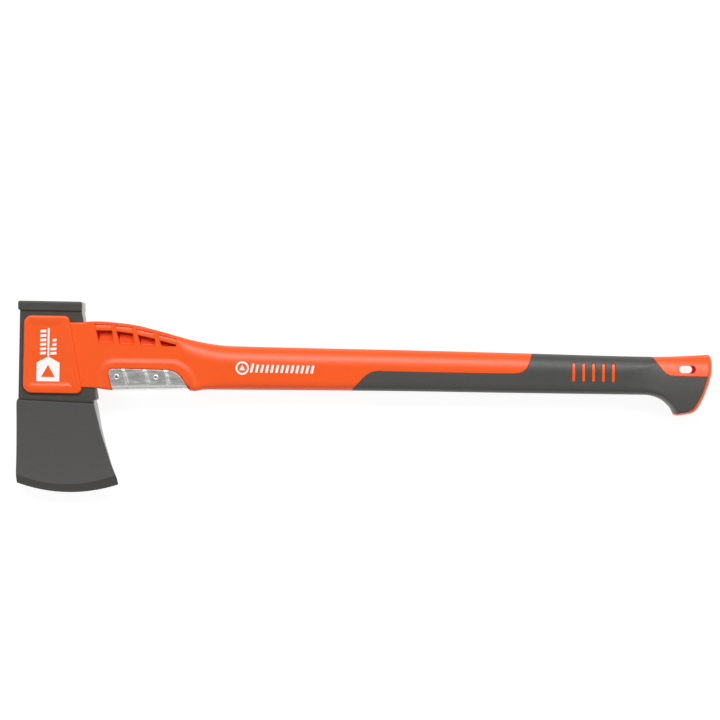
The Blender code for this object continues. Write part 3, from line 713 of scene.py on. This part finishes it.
PLATE_LINE = turned_left(rounded(PLATE))
PANEL_LINE = np.array(PANEL)
PANEL_RIM = offset(turned_left(PANEL_LINE), -PANEL_SLOPE)
PAD_LINE = turned_left(through(PAD))
GUARD_POCKET = offset(turned_left(through(GUARD_OUTLINE)), -GUARD_GAP)
BAR_LINES = [
    turned_left(divided([*bar[:2], *(np.array(bar[2:]) + BAR_FOOT)], CURVE_SPACING, closed=True))
    for bar in BARS_AT
]
POCKETS = [
    [(bar[3], POCKET_TOP_ROUND), (bar[2], POCKET_TOP_ROUND), *feet] for bar, feet in zip(BARS_AT, POCKET_FEET)
]
POCKET_LINES, TRAY_LINES = (
    [turned_left(rounded(window, steps=4, spacing=CURVE_SPACING)) for window in windows]
    for windows in (POCKETS, TRAYS)
)
CREST_LINE = through(CREST)
RIVET_HOLES = [circle(centre, RIVET_HOLE) for centre in RIVETS.values()]


def left_of_head_line(points):
    (x1, y1), (x2, y2) = HEAD_LINE
    return points[:, 0] < x1 + (points[:, 1] - y1) * (x2 - x1) / (y2 - y1)


def panel_drop(points):
    """The recess in the cheek plate: flat, with mitred slopes."""
    rim = turned_left(PANEL_RIM)
    left = left_of(unit(np.roll(rim, -1, axis=0) - rim))
    into = ((points[:, None] - rim) * left).sum(axis=2).min(axis=1)
    return PANEL_DEPTH * ramp(into, PANEL_SLOPE)


def level_along(points, start, end):
    """The height of the straight line through start and end, above each point's X."""
    return start[1] + (points[:, 0] - start[0]) * (end[1] - start[1]) / (end[0] - start[0])


def cut_windows(points, height):
    """The neck's windows, and the fine groove that sets off the crest above them."""
    x, y = points.T
    near = np.flatnonzero((x > WINDOWS_FROM_X) & (x < WINDOWS_TO_X) & (y > WINDOWS_FROM_Y))
    spots, z = points[near], height[near]
    z = z - CREST_DEPTH * (1 - ramp(away(spots, CREST_LINE, False), CREST_HALF))
    for bar, edge, pocket, tray in zip(BARS_AT, BAR_LINES, POCKET_LINES, TRAY_LINES):
        # The bar's face is a barrel, deepest along its top; the pocket's floor sweeps up to its lower edges.
        top, foot = level_along(spots, bar[0], bar[1]), level_along(spots, bar[3], bar[2])
        up = np.clip((spots[:, 1] - foot) / (top - foot), 0, 1)
        z = z - (BAR_SUNK + BAR_CURVE * (up - BAR_LEVEL) ** 2) * ramp(depth(spots, edge), BAR_EDGE)
        on_tray, into = depth(spots, tray), depth(spots, pocket)
        floor = (TRAY_HALF - CHANNEL_HALF - edge_drop(on_tray, TRAY_ROUND)) * ramp(on_tray, CREASE)
        floor += edge_drop(into - POCKET_WALL, POCKET_SWEEP) * ramp(foot - spots[:, 1], SWEEP_FADE)
        z = z + (CHANNEL_HALF + floor - z) * ramp(into, POCKET_WALL)
    height[near] = z
    return height


def handle_height(points):
    height = body_height(points)
    on_pad = depth(points, PAD_LINE)
    height += PAD_RISE * (eased(on_pad, PAD_SLOPE) + ramp(on_pad, PAD_SLOPE)) / 2
    height = cut_windows(points, height)
    pocket = depth(points, GUARD_POCKET)
    sunk = GUARD_HALF - GUARD_SHEET - GUARD_ROOM
    height = np.where(pocket > CREASE / 2, np.minimum(height, sunk), height)
    height -= edge_drop(-depth(points, SLOT), SLOT_LEAD)
    height -= seam_drop(points, BEYOND_RIM, *RIM_JOINT)
    plate = depth(points, PLATE_LINE)
    foot = HALF_THICKNESS - PLATE_EDGE
    height += np.maximum(foot - height, 0) * (1 - eased(-plate, FOOT))
    on_plate = HALF_THICKNESS - edge_drop(plate, PLATE_EDGE) - panel_drop(points)
    height = np.where(plate > 0, on_plate, height)
    in_grip = depth(points, GRIP)
    core = body_height(points, CORE_INSET)
    for bar in BARS:
        into = depth(points, bar)
        raised = body_height(points) - BAR_SINK - edge_drop(into, BAR_ROUND)
        core = np.where(into > 0, raised, core)
    height -= np.where(in_grip < 0, edge_drop(-in_grip - SEAM, SEAM_ROUND), 0)
    return np.where(in_grip > CREASE / 2, core, height)


def handle_chosen(points):
    in_core = away(points, BODY_LINE, False) > CORE_INSET
    body = within(points, BODY_LINE, [offset(BEYOND_RIM, -RIM_SEAM), SLOT, *RIVET_HOLES])
    return body & (~inside(points, GRIP) | in_core) | inside(points, PLATE_LINE)


def handle_paint(points):
    """1 where a mark is printed on the surface, otherwise 0."""
    printed = np.zeros(len(points), int)
    for outline in MARKS:
        printed += inside(points, outline)
    return printed % 2


def mark_outlines():
    """The printed marks as outlines; one inside another is a hole in it."""
    left, right = MARK_LINE_X - MARK_LINE_HALF, MARK_LINE_X + MARK_LINE_HALF
    low = max(y for _, y in ARROW_MARK) + MARK_APART
    line = [(left, low), (right, low), (right, MARK_LINE_TOP), (left, MARK_LINE_TOP)]
    marks = [divided(outline, closed=True) for outline in (ARROW_MARK, ARROW_HOLE, line)]
    for x, y, length in MARK_TICKS:
        ends = (x - length / 2, TICK_LEAN), (x + length / 2, 0)
        low, high = ([(end, y + side * TICK_HALF - lean) for end, lean in ends] for side in (-1, 1))
        marks.append(rounded([(p, MARK_ROUND) for p in low + high[::-1]], steps=3))
    marks += [circle(DISC_CENTRE, radius, steps=40) for radius in (DISC_RADIUS, DISC_RING)]
    marks.append(divided(np.array(DISC_CENTRE) + DISC_MARK, closed=True))
    for i, (low, high) in enumerate(STRIPES):
        x = STRIPE_FIRST_X + i * STRIPE_STEP
        lean = STRIPE_LEAN * (high - low) / 2
        corners = [(x - STRIPE_HALF - lean, low), (x + STRIPE_HALF - lean, low)]
        corners += [(x + STRIPE_HALF + lean, high), (x - STRIPE_HALF + lean, high)]
        marks.append(rounded([(p, STRIPE_ROUND) for p in corners], steps=3))
    return marks


MARKS = mark_outlines()


def make_handle(rim):
    lines = [(BODY_LINE, False), *loops(PLATE_LINE, (0, -FOOT, *quarter(PLATE_EDGE, RIM_ANGLES[1::2])))]
    lines += [(divided(outline, closed=True), True) for outline in (PANEL_RIM, PANEL_LINE)]
    lines += [(divided(pair), False) for pair in zip(turned_left(PANEL_LINE), turned_left(PANEL_RIM))]
    lines += [(divided(HEAD_LINE), False), *loops(GUARD_POCKET, (0, CREASE))]
    for bar, pocket, tray in zip(BAR_LINES, POCKET_LINES, TRAY_LINES):
        lines += loops(bar, (0, BAR_EDGE)) + loops(pocket, (0, POCKET_WALL))
        lines += loops(pocket, [POCKET_WALL + POCKET_SWEEP * share for share in ROUND_STEPS[1:]])
        lines += loops(tray, (0, CREASE))
    lines += loops(CREST_LINE, (-CREST_HALF, 0, CREST_HALF), False)
    lines += loops(SLOT, [0] + [-SLOT_LEAD * share for share in LEAD_STEPS])
    lines += seam_rows(GRIP, -1) + seam_rows(BEYOND_RIM, -1, *RIM_JOINT)
    lines += [(hole, True) for hole in RIVET_HOLES]
    lines += loops(GRIP, (0, CREASE)) + loops(BODY_LINE, [CORE_INSET], False)
    for bar in BARS:
        lines += loops(bar, (0, -CREASE, BAR_MIDDLE * BAR_ROUND, BAR_ROUND))
    lines += [(mark, True) for mark in MARKS]
    points = np.vstack([
        apart(rim, lines), fill_points(BODY_LINE, lines, BODY_FILL, clear_of_rim),
        fill_points(PLATE_LINE, lines, PLATE_FILL),
    ])
    return slab(
        "handle_moulding", lines, points, handle_chosen, handle_height,
        hollow=left_of_head_line, inner=lambda p: np.full(len(p), OVER_NECK), paint=handle_paint,
        # Material 2, on the hanging slot's walls, is painted shade.
        wall_paint=lambda p: np.where(depth(p, SLOT) > -CREASE, 2, 0),
    )


def make_grip(rim):
    slots = [offset(bar, -BAR_CLEAR) for bar in BARS]
    lines = loops(BODY_LINE, (0, GRIP_INNER), False) + seam_rows(GRIP, 1) + seam_rows(BEYOND_RIM, -1)
    for slot in slots:
        lines += loops(slot, (0, -BAR_MIDDLE * BAR_HOLE_ROUND, -BAR_HOLE_ROUND))
    region, past = offset(GRIP, SEAM), offset(BEYOND_RIM, -SEAM)

    def height(points):
        z = body_height(points) - seam_drop(points, GRIP) - seam_drop(points, BEYOND_RIM)
        for slot in slots:
            z = z - edge_drop(-depth(points, slot), BAR_HOLE_ROUND)
        return z

    points = np.vstack([apart(rim, lines), fill_points(BODY_LINE, lines, BODY_FILL, clear_of_rim)])
    return slab(
        "grip_sleeve", lines, points[points[:, 0] > GRIP_FROM_X],
        lambda p: inside(p, region) & within(p, BODY_LINE, [past, *slots]), height,
        hollow=lambda p: away(p, BODY_LINE, False) > GRIP_INNER, inner=lambda p: body_height(p, GRIP_INNER),
    )


def make_cap(rim):
    lines = [(BODY_LINE, False)] + seam_rows(BEYOND_RIM, 1, *RIM_JOINT)
    region = offset(BEYOND_RIM, RIM_SEAM)
    points = np.vstack([apart(rim, lines), fill_points(BODY_LINE, lines, CAP_FILL, clear_of_rim)])
    return slab("end_cap", lines, points[points[:, 0] > CAP_FROM_X],
                lambda p: inside(p, BODY_LINE) & inside(p, region),
                lambda p: body_height(p) - seam_drop(p, BEYOND_RIM, *RIM_JOINT))


# ---- Head ----

EDGE_LINE, BEVEL_LINE = sagging(*CUTTING_EDGE), sagging(*BEVEL)
HEAD_OUTLINE = turned_left(np.vstack([
    divided(HEAD_LEFT, HEAD_SPACING)[:-1], EDGE_LINE, through(HEEL, HEAD_SPACING),
    divided(HEAD_RIGHT, HEAD_SPACING), divided([HEAD_RIGHT[-1], HEAD_LEFT[0]], HEAD_SPACING)[1:-1],
]))


def head_lines(points):
    """At each point's X: the height where the shoulder starts, where it ends, and of the bevel's line."""
    lines = SHOULDER_TOP, SHOULDER, BEVEL_LINE
    return [np.interp(points[:, 0], *np.array(line).T) for line in lines]


def head_height(points):
    x, y = points.T
    shoulder_top, shoulder, bevel = head_lines(points)
    edge = np.interp(x, *EDGE_LINE.T)
    half = NECK_HALF + (FLANGE_HALF - NECK_HALF) * ramp(y - NECK_TOP, FLANGE_FOOT - NECK_TOP)
    rise = np.clip((shoulder_top - y) / (shoulder_top - shoulder), 0, 1)
    half = half + (SHOULDER_HALF - NECK_HALF) * rise
    share = np.clip((shoulder - y) / (shoulder - bevel), 0, 1)
    blade = BEVEL_HALF + (SHOULDER_HALF - BEVEL_HALF) * (1 - share) ** BLADE_TAPER
    blade -= edge_drop(shoulder - y, SHOULDER_ROUND)
    half -= SHOULDER_ROUND * rise
    half = np.where(y < shoulder, blade, half)
    fall = np.clip((bevel - y) / (bevel - edge), 0, 1)
    half = np.where(y < bevel, BEVEL_HALF + (EDGE_HALF - BEVEL_HALF) * fall, half)
    radius = np.clip(half * ROUND_OF_HALF, EDGE_ROUND, HEAD_ROUND)
    radius = np.where(y > FLANGE_FOOT, FLANGE_ROUND, radius)
    return half - edge_drop(away(points, HEAD_OUTLINE), radius)


def head_paint(points):
    """0 for the neck and poll, 1 for the blade's faces, 2 for the ground bevel, 3 for painted shade along the
    shoulder's step.
    """
    y = points[:, 1]
    shoulder_top, shoulder, bevel = head_lines(points)
    return np.select([y < bevel, y < shoulder, y < shoulder_top], [2, 1, 3], 0)


def head_wall_paint(points):
    """4 for the ground side walls, 3 for painted shade on the side wall round the step from neck to blade."""
    x, y = points.T
    return np.where((x > SHADED_WALL_FROM_X) & (np.abs(y - SHADED_WALL_Y) < SHADED_WALL_HALF), 3, 4)


def eye_height(points, inset=0.0):
    """The eye's half-width at each height: flat-sided, with rounded corners."""
    low, high = EYE_LOW + inset, EYE_HIGH - inset
    to_wall = np.minimum(points[:, 1] - low, high - points[:, 1])
    return EYE_HALF - inset - edge_drop(to_wall, EYE_ROUND)


def level_line(y):
    return divided([(x, y) for x in ACROSS_HEAD], HEAD_SPACING), False


def eye_rows(inset=0.0):
    rows = [0, *quarter(EYE_ROUND, RIM_ANGLES[1::2])]
    return [EYE_LOW + inset + d for d in rows] + [EYE_HIGH - inset - d for d in rows]


def make_head():
    lines = loops(HEAD_OUTLINE, (0, *quarter(FLANGE_ROUND, RIM_ANGLES[1::3])))
    lines += [(divided(SHOULDER_TOP, HEAD_SPACING), False), (BEVEL_LINE, False)]
    for share in SHOULDER_STEPS:
        row = [(x, y - SHOULDER_ROUND * share) for x, y in SHOULDER]
        lines.append((divided(row, HEAD_SPACING), False))
    lines += [level_line(y) for y in (FLANGE_FOOT, NECK_TOP, *eye_rows())]
    return slab(
        "head_forging", lines, fill_points(HEAD_OUTLINE, lines, HEAD_SPACING),
        lambda p: inside(p, HEAD_OUTLINE), head_height, inner=eye_height,
        hollow=lambda p: (p[:, 1] > EYE_LOW) & (p[:, 1] < EYE_HIGH),
        paint=head_paint, wall_paint=head_wall_paint,
    )


def make_tongue():
    """The handle's tongue, which fills the eye and shows at its ends."""
    low, high = EYE_LOW + TONGUE_GAP, EYE_HIGH - TONGUE_GAP
    corners = [(TONGUE_START, low), (TONGUE_END, low), (TONGUE_END, high), (TONGUE_START, high)]
    outline = turned_left(divided(corners, HEAD_SPACING, closed=True))
    lines = [(outline, True)] + [level_line(y) for y in eye_rows(TONGUE_GAP)]
    return slab("eye_tongue", lines, fill_points(outline, lines, TONGUE_FILL),
                lambda p: inside(p, outline), lambda p: eye_height(p, TONGUE_GAP))


# ---- Strike guard and rivets ----

BEND_LENGTH = GUARD_BEND * np.pi / 2
GUARD_TOP_EDGE = np.array(GUARD_OUTLINE[5:7]).T  # the two ends of its straight top edge
MIDDLE = BEND_LENGTH + GUARD_HALF - GUARD_BEND  # from the start of the bend to the mid-plane


def opposite(run):
    """The same place on the guard's other side."""
    return 2 * MIDDLE - run


def bend_start(x):
    return np.interp(x, *np.array(GUARD_BELLY).T) + GUARD_BEND


def unrolled(points):
    """Points of the side view as (x, run) on the flattened guard, down to where it turns under."""
    x, y = np.asarray(points, float).T
    below = bend_start(x) - y
    round_bend = GUARD_BEND * np.arcsin(np.clip(below / GUARD_BEND, 0, 1))
    return np.column_stack([x, np.where(below < 0, below, round_bend)])


def guard_points(flat, lift):
    """The flattened guard's points bent round the belly and lifted off the surface by so much."""
    x, run = flat.T
    side = np.where(run <= MIDDLE, 1, -1)
    run = np.minimum(run, opposite(run))
    angle = np.clip(run / GUARD_BEND, 0, np.pi / 2)
    y = bend_start(x) - np.minimum(run, 0) - (GUARD_BEND + lift) * np.sin(angle)
    z = GUARD_HALF - GUARD_BEND + (GUARD_BEND + lift) * np.cos(angle) - np.maximum(run - BEND_LENGTH, 0)
    return np.column_stack([x, y, z * side])


def guard_flat_outline():
    """The outline of the flattened guard, with its tabs, symmetric about the middle."""
    line = []
    for x, y in through(GUARD_OUTLINE):
        from_tab = min(abs(x - centre) for centre in TAB_CENTRES)
        if y >= np.interp(x, *np.array(GUARD_BELLY).T) and from_tab > TAB_WIDTH / 2 + TAB_NEAR:
            line.append((x, y))
    for centre in TAB_CENTRES:
        base = float(np.interp(centre, *GUARD_TOP_EDGE))
        left, right = centre - TAB_WIDTH / 2, centre + TAB_WIDTH / 2
        top = base + TAB_RISE
        after = next(i for i, (x, y) in enumerate(line) if x > centre and y > base - TAB_BELOW)
        corners = [(left + TAB_CHAMFER, top), (right - TAB_CHAMFER, top)]
        line[after:after] = [(left, base), *corners, (right, base)]
    side = unrolled(line)
    half = [(side[0][0], MIDDLE), (side[0][0], BEND_LENGTH), *map(tuple, side)]
    half += [(side[-1][0], BEND_LENGTH), (side[-1][0], MIDDLE)]
    mirrored = [(x, opposite(run)) for x, run in half[::-1]]
    return turned_left(divided(half + mirrored[1:-1], CURVE_SPACING, closed=True))


def groove_lines():
    """The middles of the pressed ribs, from one side round the belly to the other."""
    lines = []
    for groove in GROOVES:
        half = [tuple(p) for p in unrolled(groove)]
        under = half[1][0] + GROOVE_END
        half += [(under, BEND_LENGTH), (under, MIDDLE)]
        lines.append(np.array(half + [(x, opposite(run)) for x, run in half[-2::-1]]))
    return lines


GROOVE_LINES = groove_lines()


def guard_lift(points):
    """How far the guard's surface stands off its plain shape: pressed ribs up, tabs bent in."""
    x, run = points.T
    run = np.minimum(run, opposite(run))
    lift = np.zeros(len(points))
    for line in GROOVE_LINES:
        from_end = run - line[0][1] + GROOVE_HALF
        across = np.cos(np.pi / 2 * ramp(away(points, line, False), GROOVE_HALF)) ** 2
        lift += GROOVE_RISE * across * eased(from_end, GROOVE_EASE)
    on_tab = np.abs(x[:, None] - TAB_CENTRES).min(axis=1) < TAB_WIDTH / 2 + TAB_EDGE
    fold = np.interp(x, *GUARD_TOP_EDGE) - TAB_FOLD
    return lift - np.where(on_tab, TAB_TILT * np.maximum(bend_start(x) - run - fold, 0), 0)


def make_guard():
    outline = guard_flat_outline()
    holes = []
    for centre in RIVETS.values():
        x, run = unrolled([centre])[0]
        holes += [circle((x, r), RIVET_HOLE) for r in (run, opposite(run))]
    lines = loops(outline, (0, GUARD_BEVEL_WIDTH)) + [(hole, True) for hole in holes]
    for line in GROOVE_LINES:
        for row, _ in loops(line, [step * GROOVE_HALF for step in GROOVE_STEPS], False):
            lines.append((divided(row, CURVE_SPACING), False))
    for tab in TAB_CENTRES:
        fold = float(np.interp(tab, *GUARD_TOP_EDGE)) - TAB_FOLD
        (x1, run), (x2, _) = unrolled([(tab - TAB_WIDTH / 2, fold), (tab + TAB_WIDTH / 2, fold)])
        lines += [(divided([(x1, r), (x2, r)]), False) for r in (run, opposite(run))]
    flat, faces = triangulated(lines, fill_points(outline, lines, GUARD_FILL))
    centres = flat[faces].mean(axis=1)
    keep = within(centres, outline, holes)
    faces, centres = faces[keep], centres[keep]
    lift = guard_lift(flat)
    bevel = GUARD_BEVEL * (1 - ramp(away(flat, outline), GUARD_BEVEL_WIDTH))
    points = np.vstack([guard_points(flat, lift - bevel), guard_points(flat, lift - GUARD_SHEET)])
    count = len(flat)
    every = [*faces, *(faces[:, ::-1] + count)]
    owner = {(f[i], f[(i + 1) % 3]) for f in faces.tolist() for i in range(3)}
    every += [(b, a, a + count, b + count) for a, b in owner if (b, a) not in owner]
    mesh = new_mesh("guard_plate", points, every)
    # Painted highlight: lighter steel along the bend, in a strip round the edge and over the ribs, where the
    # guard would catch reflected light.
    from_bend = MIDDLE - np.abs(centres[:, 1] - MIDDLE)
    painted_highlight = (from_bend > -HIGHLIGHT_ABOVE) & (from_bend < BEND_LENGTH * HIGHLIGHT_BEND)
    painted_highlight |= away(centres, outline) < GUARD_BEVEL_WIDTH
    for line in GROOVE_LINES:
        painted_highlight |= away(centres, line, False) < GROOVE_HALF * HIGHLIGHT_GROOVE
    index = np.zeros(len(mesh.polygons), np.int32)
    index[: len(faces)] = painted_highlight
    mesh.polygons.foreach_set("material_index", index)
    return finish_loose(mesh)


def finish_loose(mesh):
    """An object from the mesh, without spare vertices and with its faces turned outwards."""
    builder = bmesh.new()
    builder.from_mesh(mesh)
    bmesh.ops.delete(builder, geom=[v for v in builder.verts if not v.link_faces], context="VERTS")
    bmesh.ops.recalc_face_normals(builder, faces=builder.faces)
    builder.to_mesh(mesh)
    builder.free()
    mesh.shade_smooth()
    mesh.set_sharp_from_angle(angle=LOOSE_SHARP_ANGLE)
    return placed(mesh.name, mesh)


def make_rivet(name, centre, steps=48):
    """A tubular rivet, turned about its own axis."""
    profile = RIVET_PROFILE + [(radius, -z) for radius, z in reversed(RIVET_PROFILE)]
    turns = np.linspace(0, 2 * np.pi, steps, endpoint=False)
    points = [(centre[0] + r * np.cos(a), centre[1] + r * np.sin(a), z) for a in turns for r, z in profile]
    count = len(profile)
    faces = []
    for i in range(steps):
        row, following = i * count, (i + 1) % steps * count
        for j in range(count):
            after = (j + 1) % count
            faces.append((row + j, row + after, following + after, following + j))
    return finish_loose(new_mesh(name, points, faces))


# ---- Materials ----


def linked(nodes, links, kind, source, into, **values):
    """A node of this kind fed from source, with some of its inputs set."""
    node = nodes.new(kind)
    for name, value in values.items():
        node.inputs[name.replace("_", " ")].default_value = value
    links.new(source, node.inputs[into])
    return node


def material(name, colour, roughness, drift=None, sheen=None, grain=None, metallic=0.0, specular=0.5):
    """A material without pictures, varied by noise that is fixed to the object.

    drift, sheen and grain say how colour, roughness and surface vary. Each starts with its noise, as
    features per metre, detail and stretch along X. Then drift has the share by which the colour moves
    either way, sheen the lowest and highest roughness, and grain a depth in millimetres.
    """
    made = bpy.data.materials.new(name)
    made.use_nodes = True
    nodes, links = made.node_tree.nodes, made.node_tree.links
    shader = nodes["Principled BSDF"]
    plain = {"Base Color": (*colour, 1), "Roughness": roughness, "Metallic": metallic}
    for key, value in {**plain, "Specular IOR Level": specular}.items():
        shader.inputs[key].default_value = value

    def noise(scale, detail, along):
        place = nodes.new("ShaderNodeTexCoord").outputs["Object"]
        mapping = linked(nodes, links, "ShaderNodeMapping", place, "Vector", Scale=(along, 1, 1))
        texture = linked(nodes, links, "ShaderNodeTexNoise", mapping.outputs["Vector"], "Vector",
                         Scale=scale, Detail=detail)
        return texture.outputs["Fac"]

    if drift:
        *pattern, share = drift
        tones = linked(nodes, links, "ShaderNodeValToRGB", noise(*pattern), "Fac")
        for stop, place, side in zip(tones.color_ramp.elements, NOISE_RANGE, (-1, 1)):
            stop.position = place
            stop.color = (*(c * (1 + side * share) for c in colour), 1)
        links.new(tones.outputs["Color"], shader.inputs["Base Color"])
    if sheen:
        *pattern, low, high = sheen
        spread = linked(nodes, links, "ShaderNodeMapRange", noise(*pattern), "Value",
                        From_Min=NOISE_RANGE[0], From_Max=NOISE_RANGE[1], To_Min=low, To_Max=high)
        links.new(spread.outputs["Result"], shader.inputs["Roughness"])
    if grain:
        *pattern, deep = grain
        bump = linked(nodes, links, "ShaderNodeBump", noise(*pattern), "Height",
                      Strength=1, Distance=deep * MM)
        links.new(bump.outputs["Normal"], shader.inputs["Normal"])
    return made


ORANGE = (0.95, 0.101, 0.006)
# Painted shade for the inside of the hanging slot.
SLOT_SHADE_ORANGE = (0.85, 0.025, 0.002)
BLADE_GREY = (0.085, 0.083, 0.079)
NECK_GREY = (0.06, 0.056, 0.05)
BEVEL_GREY = (0.055, 0.053, 0.05)
# Painted shade in the concave step from neck to blade, also used on the side wall beside it.
SHOULDER_SHADE_GREY = (0.03, 0.029, 0.027)
GRIP_GREY = (0.068, 0.067, 0.062)
SIDE_GREY = (0.07, 0.069, 0.066)
# The second steel is a painted highlight, for the guard's bend, edge and ribs and for the rivets.
STEEL_BRIGHT, STEEL_HIGHLIGHT = (0.76, 0.76, 0.745), (0.9, 0.9, 0.885)
PRINT_WHITE = (0.95, 0.94, 0.93)
COAT_SPREAD = 0.05
NOISE_RANGE = (0.3, 0.7)  # the part of a noise's values that is spread over the whole of what it drives


def coated(name, colour, roughness, grain=0.03):
    sheen = (90, 5, 1, roughness - COAT_SPREAD, roughness + COAT_SPREAD)
    return material(name, colour, roughness, (700, 6, 1, 0.07), sheen, (1100, 4, 1, grain), specular=0.45)


def steel(name, colour):
    """Bright steel, brushed along the axe."""
    sheen, grain = (700, 5, 0.12, 0.3, 0.44), (1400, 4, 0.08, 0.015)
    return material(name, colour, 0.36, (900, 6, 1, 0.12), sheen, grain, metallic=1.0)


# ---- The scene ----

FLOOR_SIZE = 14.0
FLOOR_WHITE = (0.22, 0.22, 0.22)
FLOOR_GLOW = 0.88
# The room's brightness by height, from the horizon up: dim overhead, as under a camera.
ROOM_LIGHT = [(0.0, 0.15), (0.28, 0.22), (0.55, 0.7), (0.78, 0.85), (0.92, 0.28), (1.0, 0.1)]
KEY_ANGLE = np.radians(37)
KEY_DISTANCE, KEY_WIDTH, KEY_HEIGHT, KEY_POWER = 2.4, 2.4, 0.65, 41.0
CAMERA_OVER, CAMERA_HEIGHT, CAMERA_LENS = (347.4, 10.0), 2310.0, 114.4
CAMERA_ROLL = np.radians(1.084)
FLOOR_GAP = 0.0005  # in metres, under the axe


def make_floor():
    level, half = CAD_LOW.z - FLOOR_GAP, FLOOR_SIZE / 2
    mesh = bpy.data.meshes.new("floor")
    corners = [(-half, -half), (half, -half), (half, half), (-half, half)]
    mesh.from_pydata([(x, y, level) for x, y in corners], [], [(0, 1, 2, 3)])
    pale = material("pale_floor", FLOOR_WHITE, 0.9, specular=0.1)
    shader = pale.node_tree.nodes["Principled BSDF"]
    shader.inputs["Emission Color"].default_value = (1, 1, 1, 1)
    shader.inputs["Emission Strength"].default_value = FLOOR_GLOW
    mesh.materials.append(pale)
    placed("floor", mesh)


def make_world():
    world = bpy.data.worlds.new("studio")
    bpy.context.scene.world = world
    world.use_nodes = True
    nodes, links = world.node_tree.nodes, world.node_tree.links
    direction = nodes.new("ShaderNodeTexCoord").outputs["Generated"]
    split = linked(nodes, links, "ShaderNodeSeparateXYZ", direction, "Vector")
    by_height = linked(nodes, links, "ShaderNodeValToRGB", split.outputs["Z"], "Fac")
    stops = by_height.color_ramp.elements
    for place, _ in ROOM_LIGHT[1:-1]:
        stops.new(place)
    for stop, (place, light) in zip(stops, ROOM_LIGHT):
        stop.position = place
        stop.color = (light, light, light, 1)
    links.new(by_height.outputs["Color"], nodes["Background"].inputs["Color"])


def make_key():
    light = bpy.data.lights.new("key", "AREA")
    light.shape = "RECTANGLE"
    light.size, light.size_y = KEY_WIDTH, KEY_HEIGHT
    light.energy = KEY_POWER
    key = placed("key", light)
    target = Vector(to_row([(*CAMERA_OVER, 0)])[0])
    back = Vector((0, np.sin(KEY_ANGLE), np.cos(KEY_ANGLE)))
    key.location = target + back * KEY_DISTANCE
    key.rotation_euler = (-back).to_track_quat("-Z", "Y").to_euler()
    key.visible_camera = False


def make_camera():
    data = bpy.data.cameras.new("camera")
    data.lens = CAMERA_LENS
    data.clip_start, data.clip_end = 0.1, 50
    camera = placed("camera", data)
    camera.location = to_row([(*CAMERA_OVER, CAMERA_HEIGHT)])[0]
    camera.rotation_euler = (0, 0, CAMERA_ROLL)
    bpy.context.scene.camera = camera


def carry(piece, materials, slot, *nodes):
    for each in materials:
        piece.data.materials.append(each)
    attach(piece, "root")
    if nodes:
        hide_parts(*nodes)


def main():
    rim = rim_points()
    orange = material("orange_moulding", ORANGE, 0.36, (45, 3, 1, 0.02), (160, 4, 1, 0.34, 0.39),
                      (1500, 3, 1, 0.02))
    rubber = material("grip_rubber", GRIP_GREY, 0.42, (60, 4, 1, 0.04), (240, 4, 1, 0.38, 0.46),
                      (1900, 2, 1, 0.04), specular=0.4)
    # The inside of the hanging slot, darker and duller than the rest of the moulding: painted shade, for the
    # little light that reaches in there.
    slot_shade = material("orange_slot_painted_shade", SLOT_SHADE_ORANGE, 0.9, (60, 3, 1, 0.05),
                    grain=(1500, 3, 1, 0.02), specular=0.05)
    white = material("white_print", PRINT_WHITE, 0.5,
                     sheen=(400, 4, 1, 0.45, 0.55), grain=(1500, 3, 1, 0.01))
    # In the order in which head_paint and head_wall_paint number them.
    coats = [
        coated("coated_neck", NECK_GREY, 0.42), coated("coated_blade", BLADE_GREY, 0.55),
        # The fourth is painted shade, for the shoulder's step and the side wall beside it.
        coated("ground_bevel", BEVEL_GREY, 0.4), coated("shoulder_painted_shade", SHOULDER_SHADE_GREY, 0.4),
        coated("ground_sides", SIDE_GREY, 0.2, 0.01),
    ]
    bright, painted_highlight = steel("brushed_steel", STEEL_BRIGHT), steel("steel_painted_highlight", STEEL_HIGHLIGHT)
    carry(make_head(), coats, "coated_steel", "axe_head")
    carry(make_handle(rim), (orange, white, slot_shade), "orange_composite", "handle_shaft")
    carry(make_tongue(), (orange,), "orange_composite")
    carry(make_grip(rim), (rubber,), "soft_grip_rubber", "soft_grip")
    carry(make_cap(rim), (orange,), "orange_composite", "butt_cap")
    carry(make_guard(), (bright, painted_highlight), "bright_steel", "strike_guard")
    # The rivets are wholly in the painted highlight steel.
    for side, centre in RIVETS.items():
        rivet = make_rivet(f"rivet_{side}", centre)
        carry(rivet, (painted_highlight,), "bright_steel", f"guard_rivet_{side}")
    make_floor()
    make_world()
    make_key()
    make_camera()
    view = bpy.context.scene.view_settings
    view.view_transform, view.look = "Standard", "None"


main()
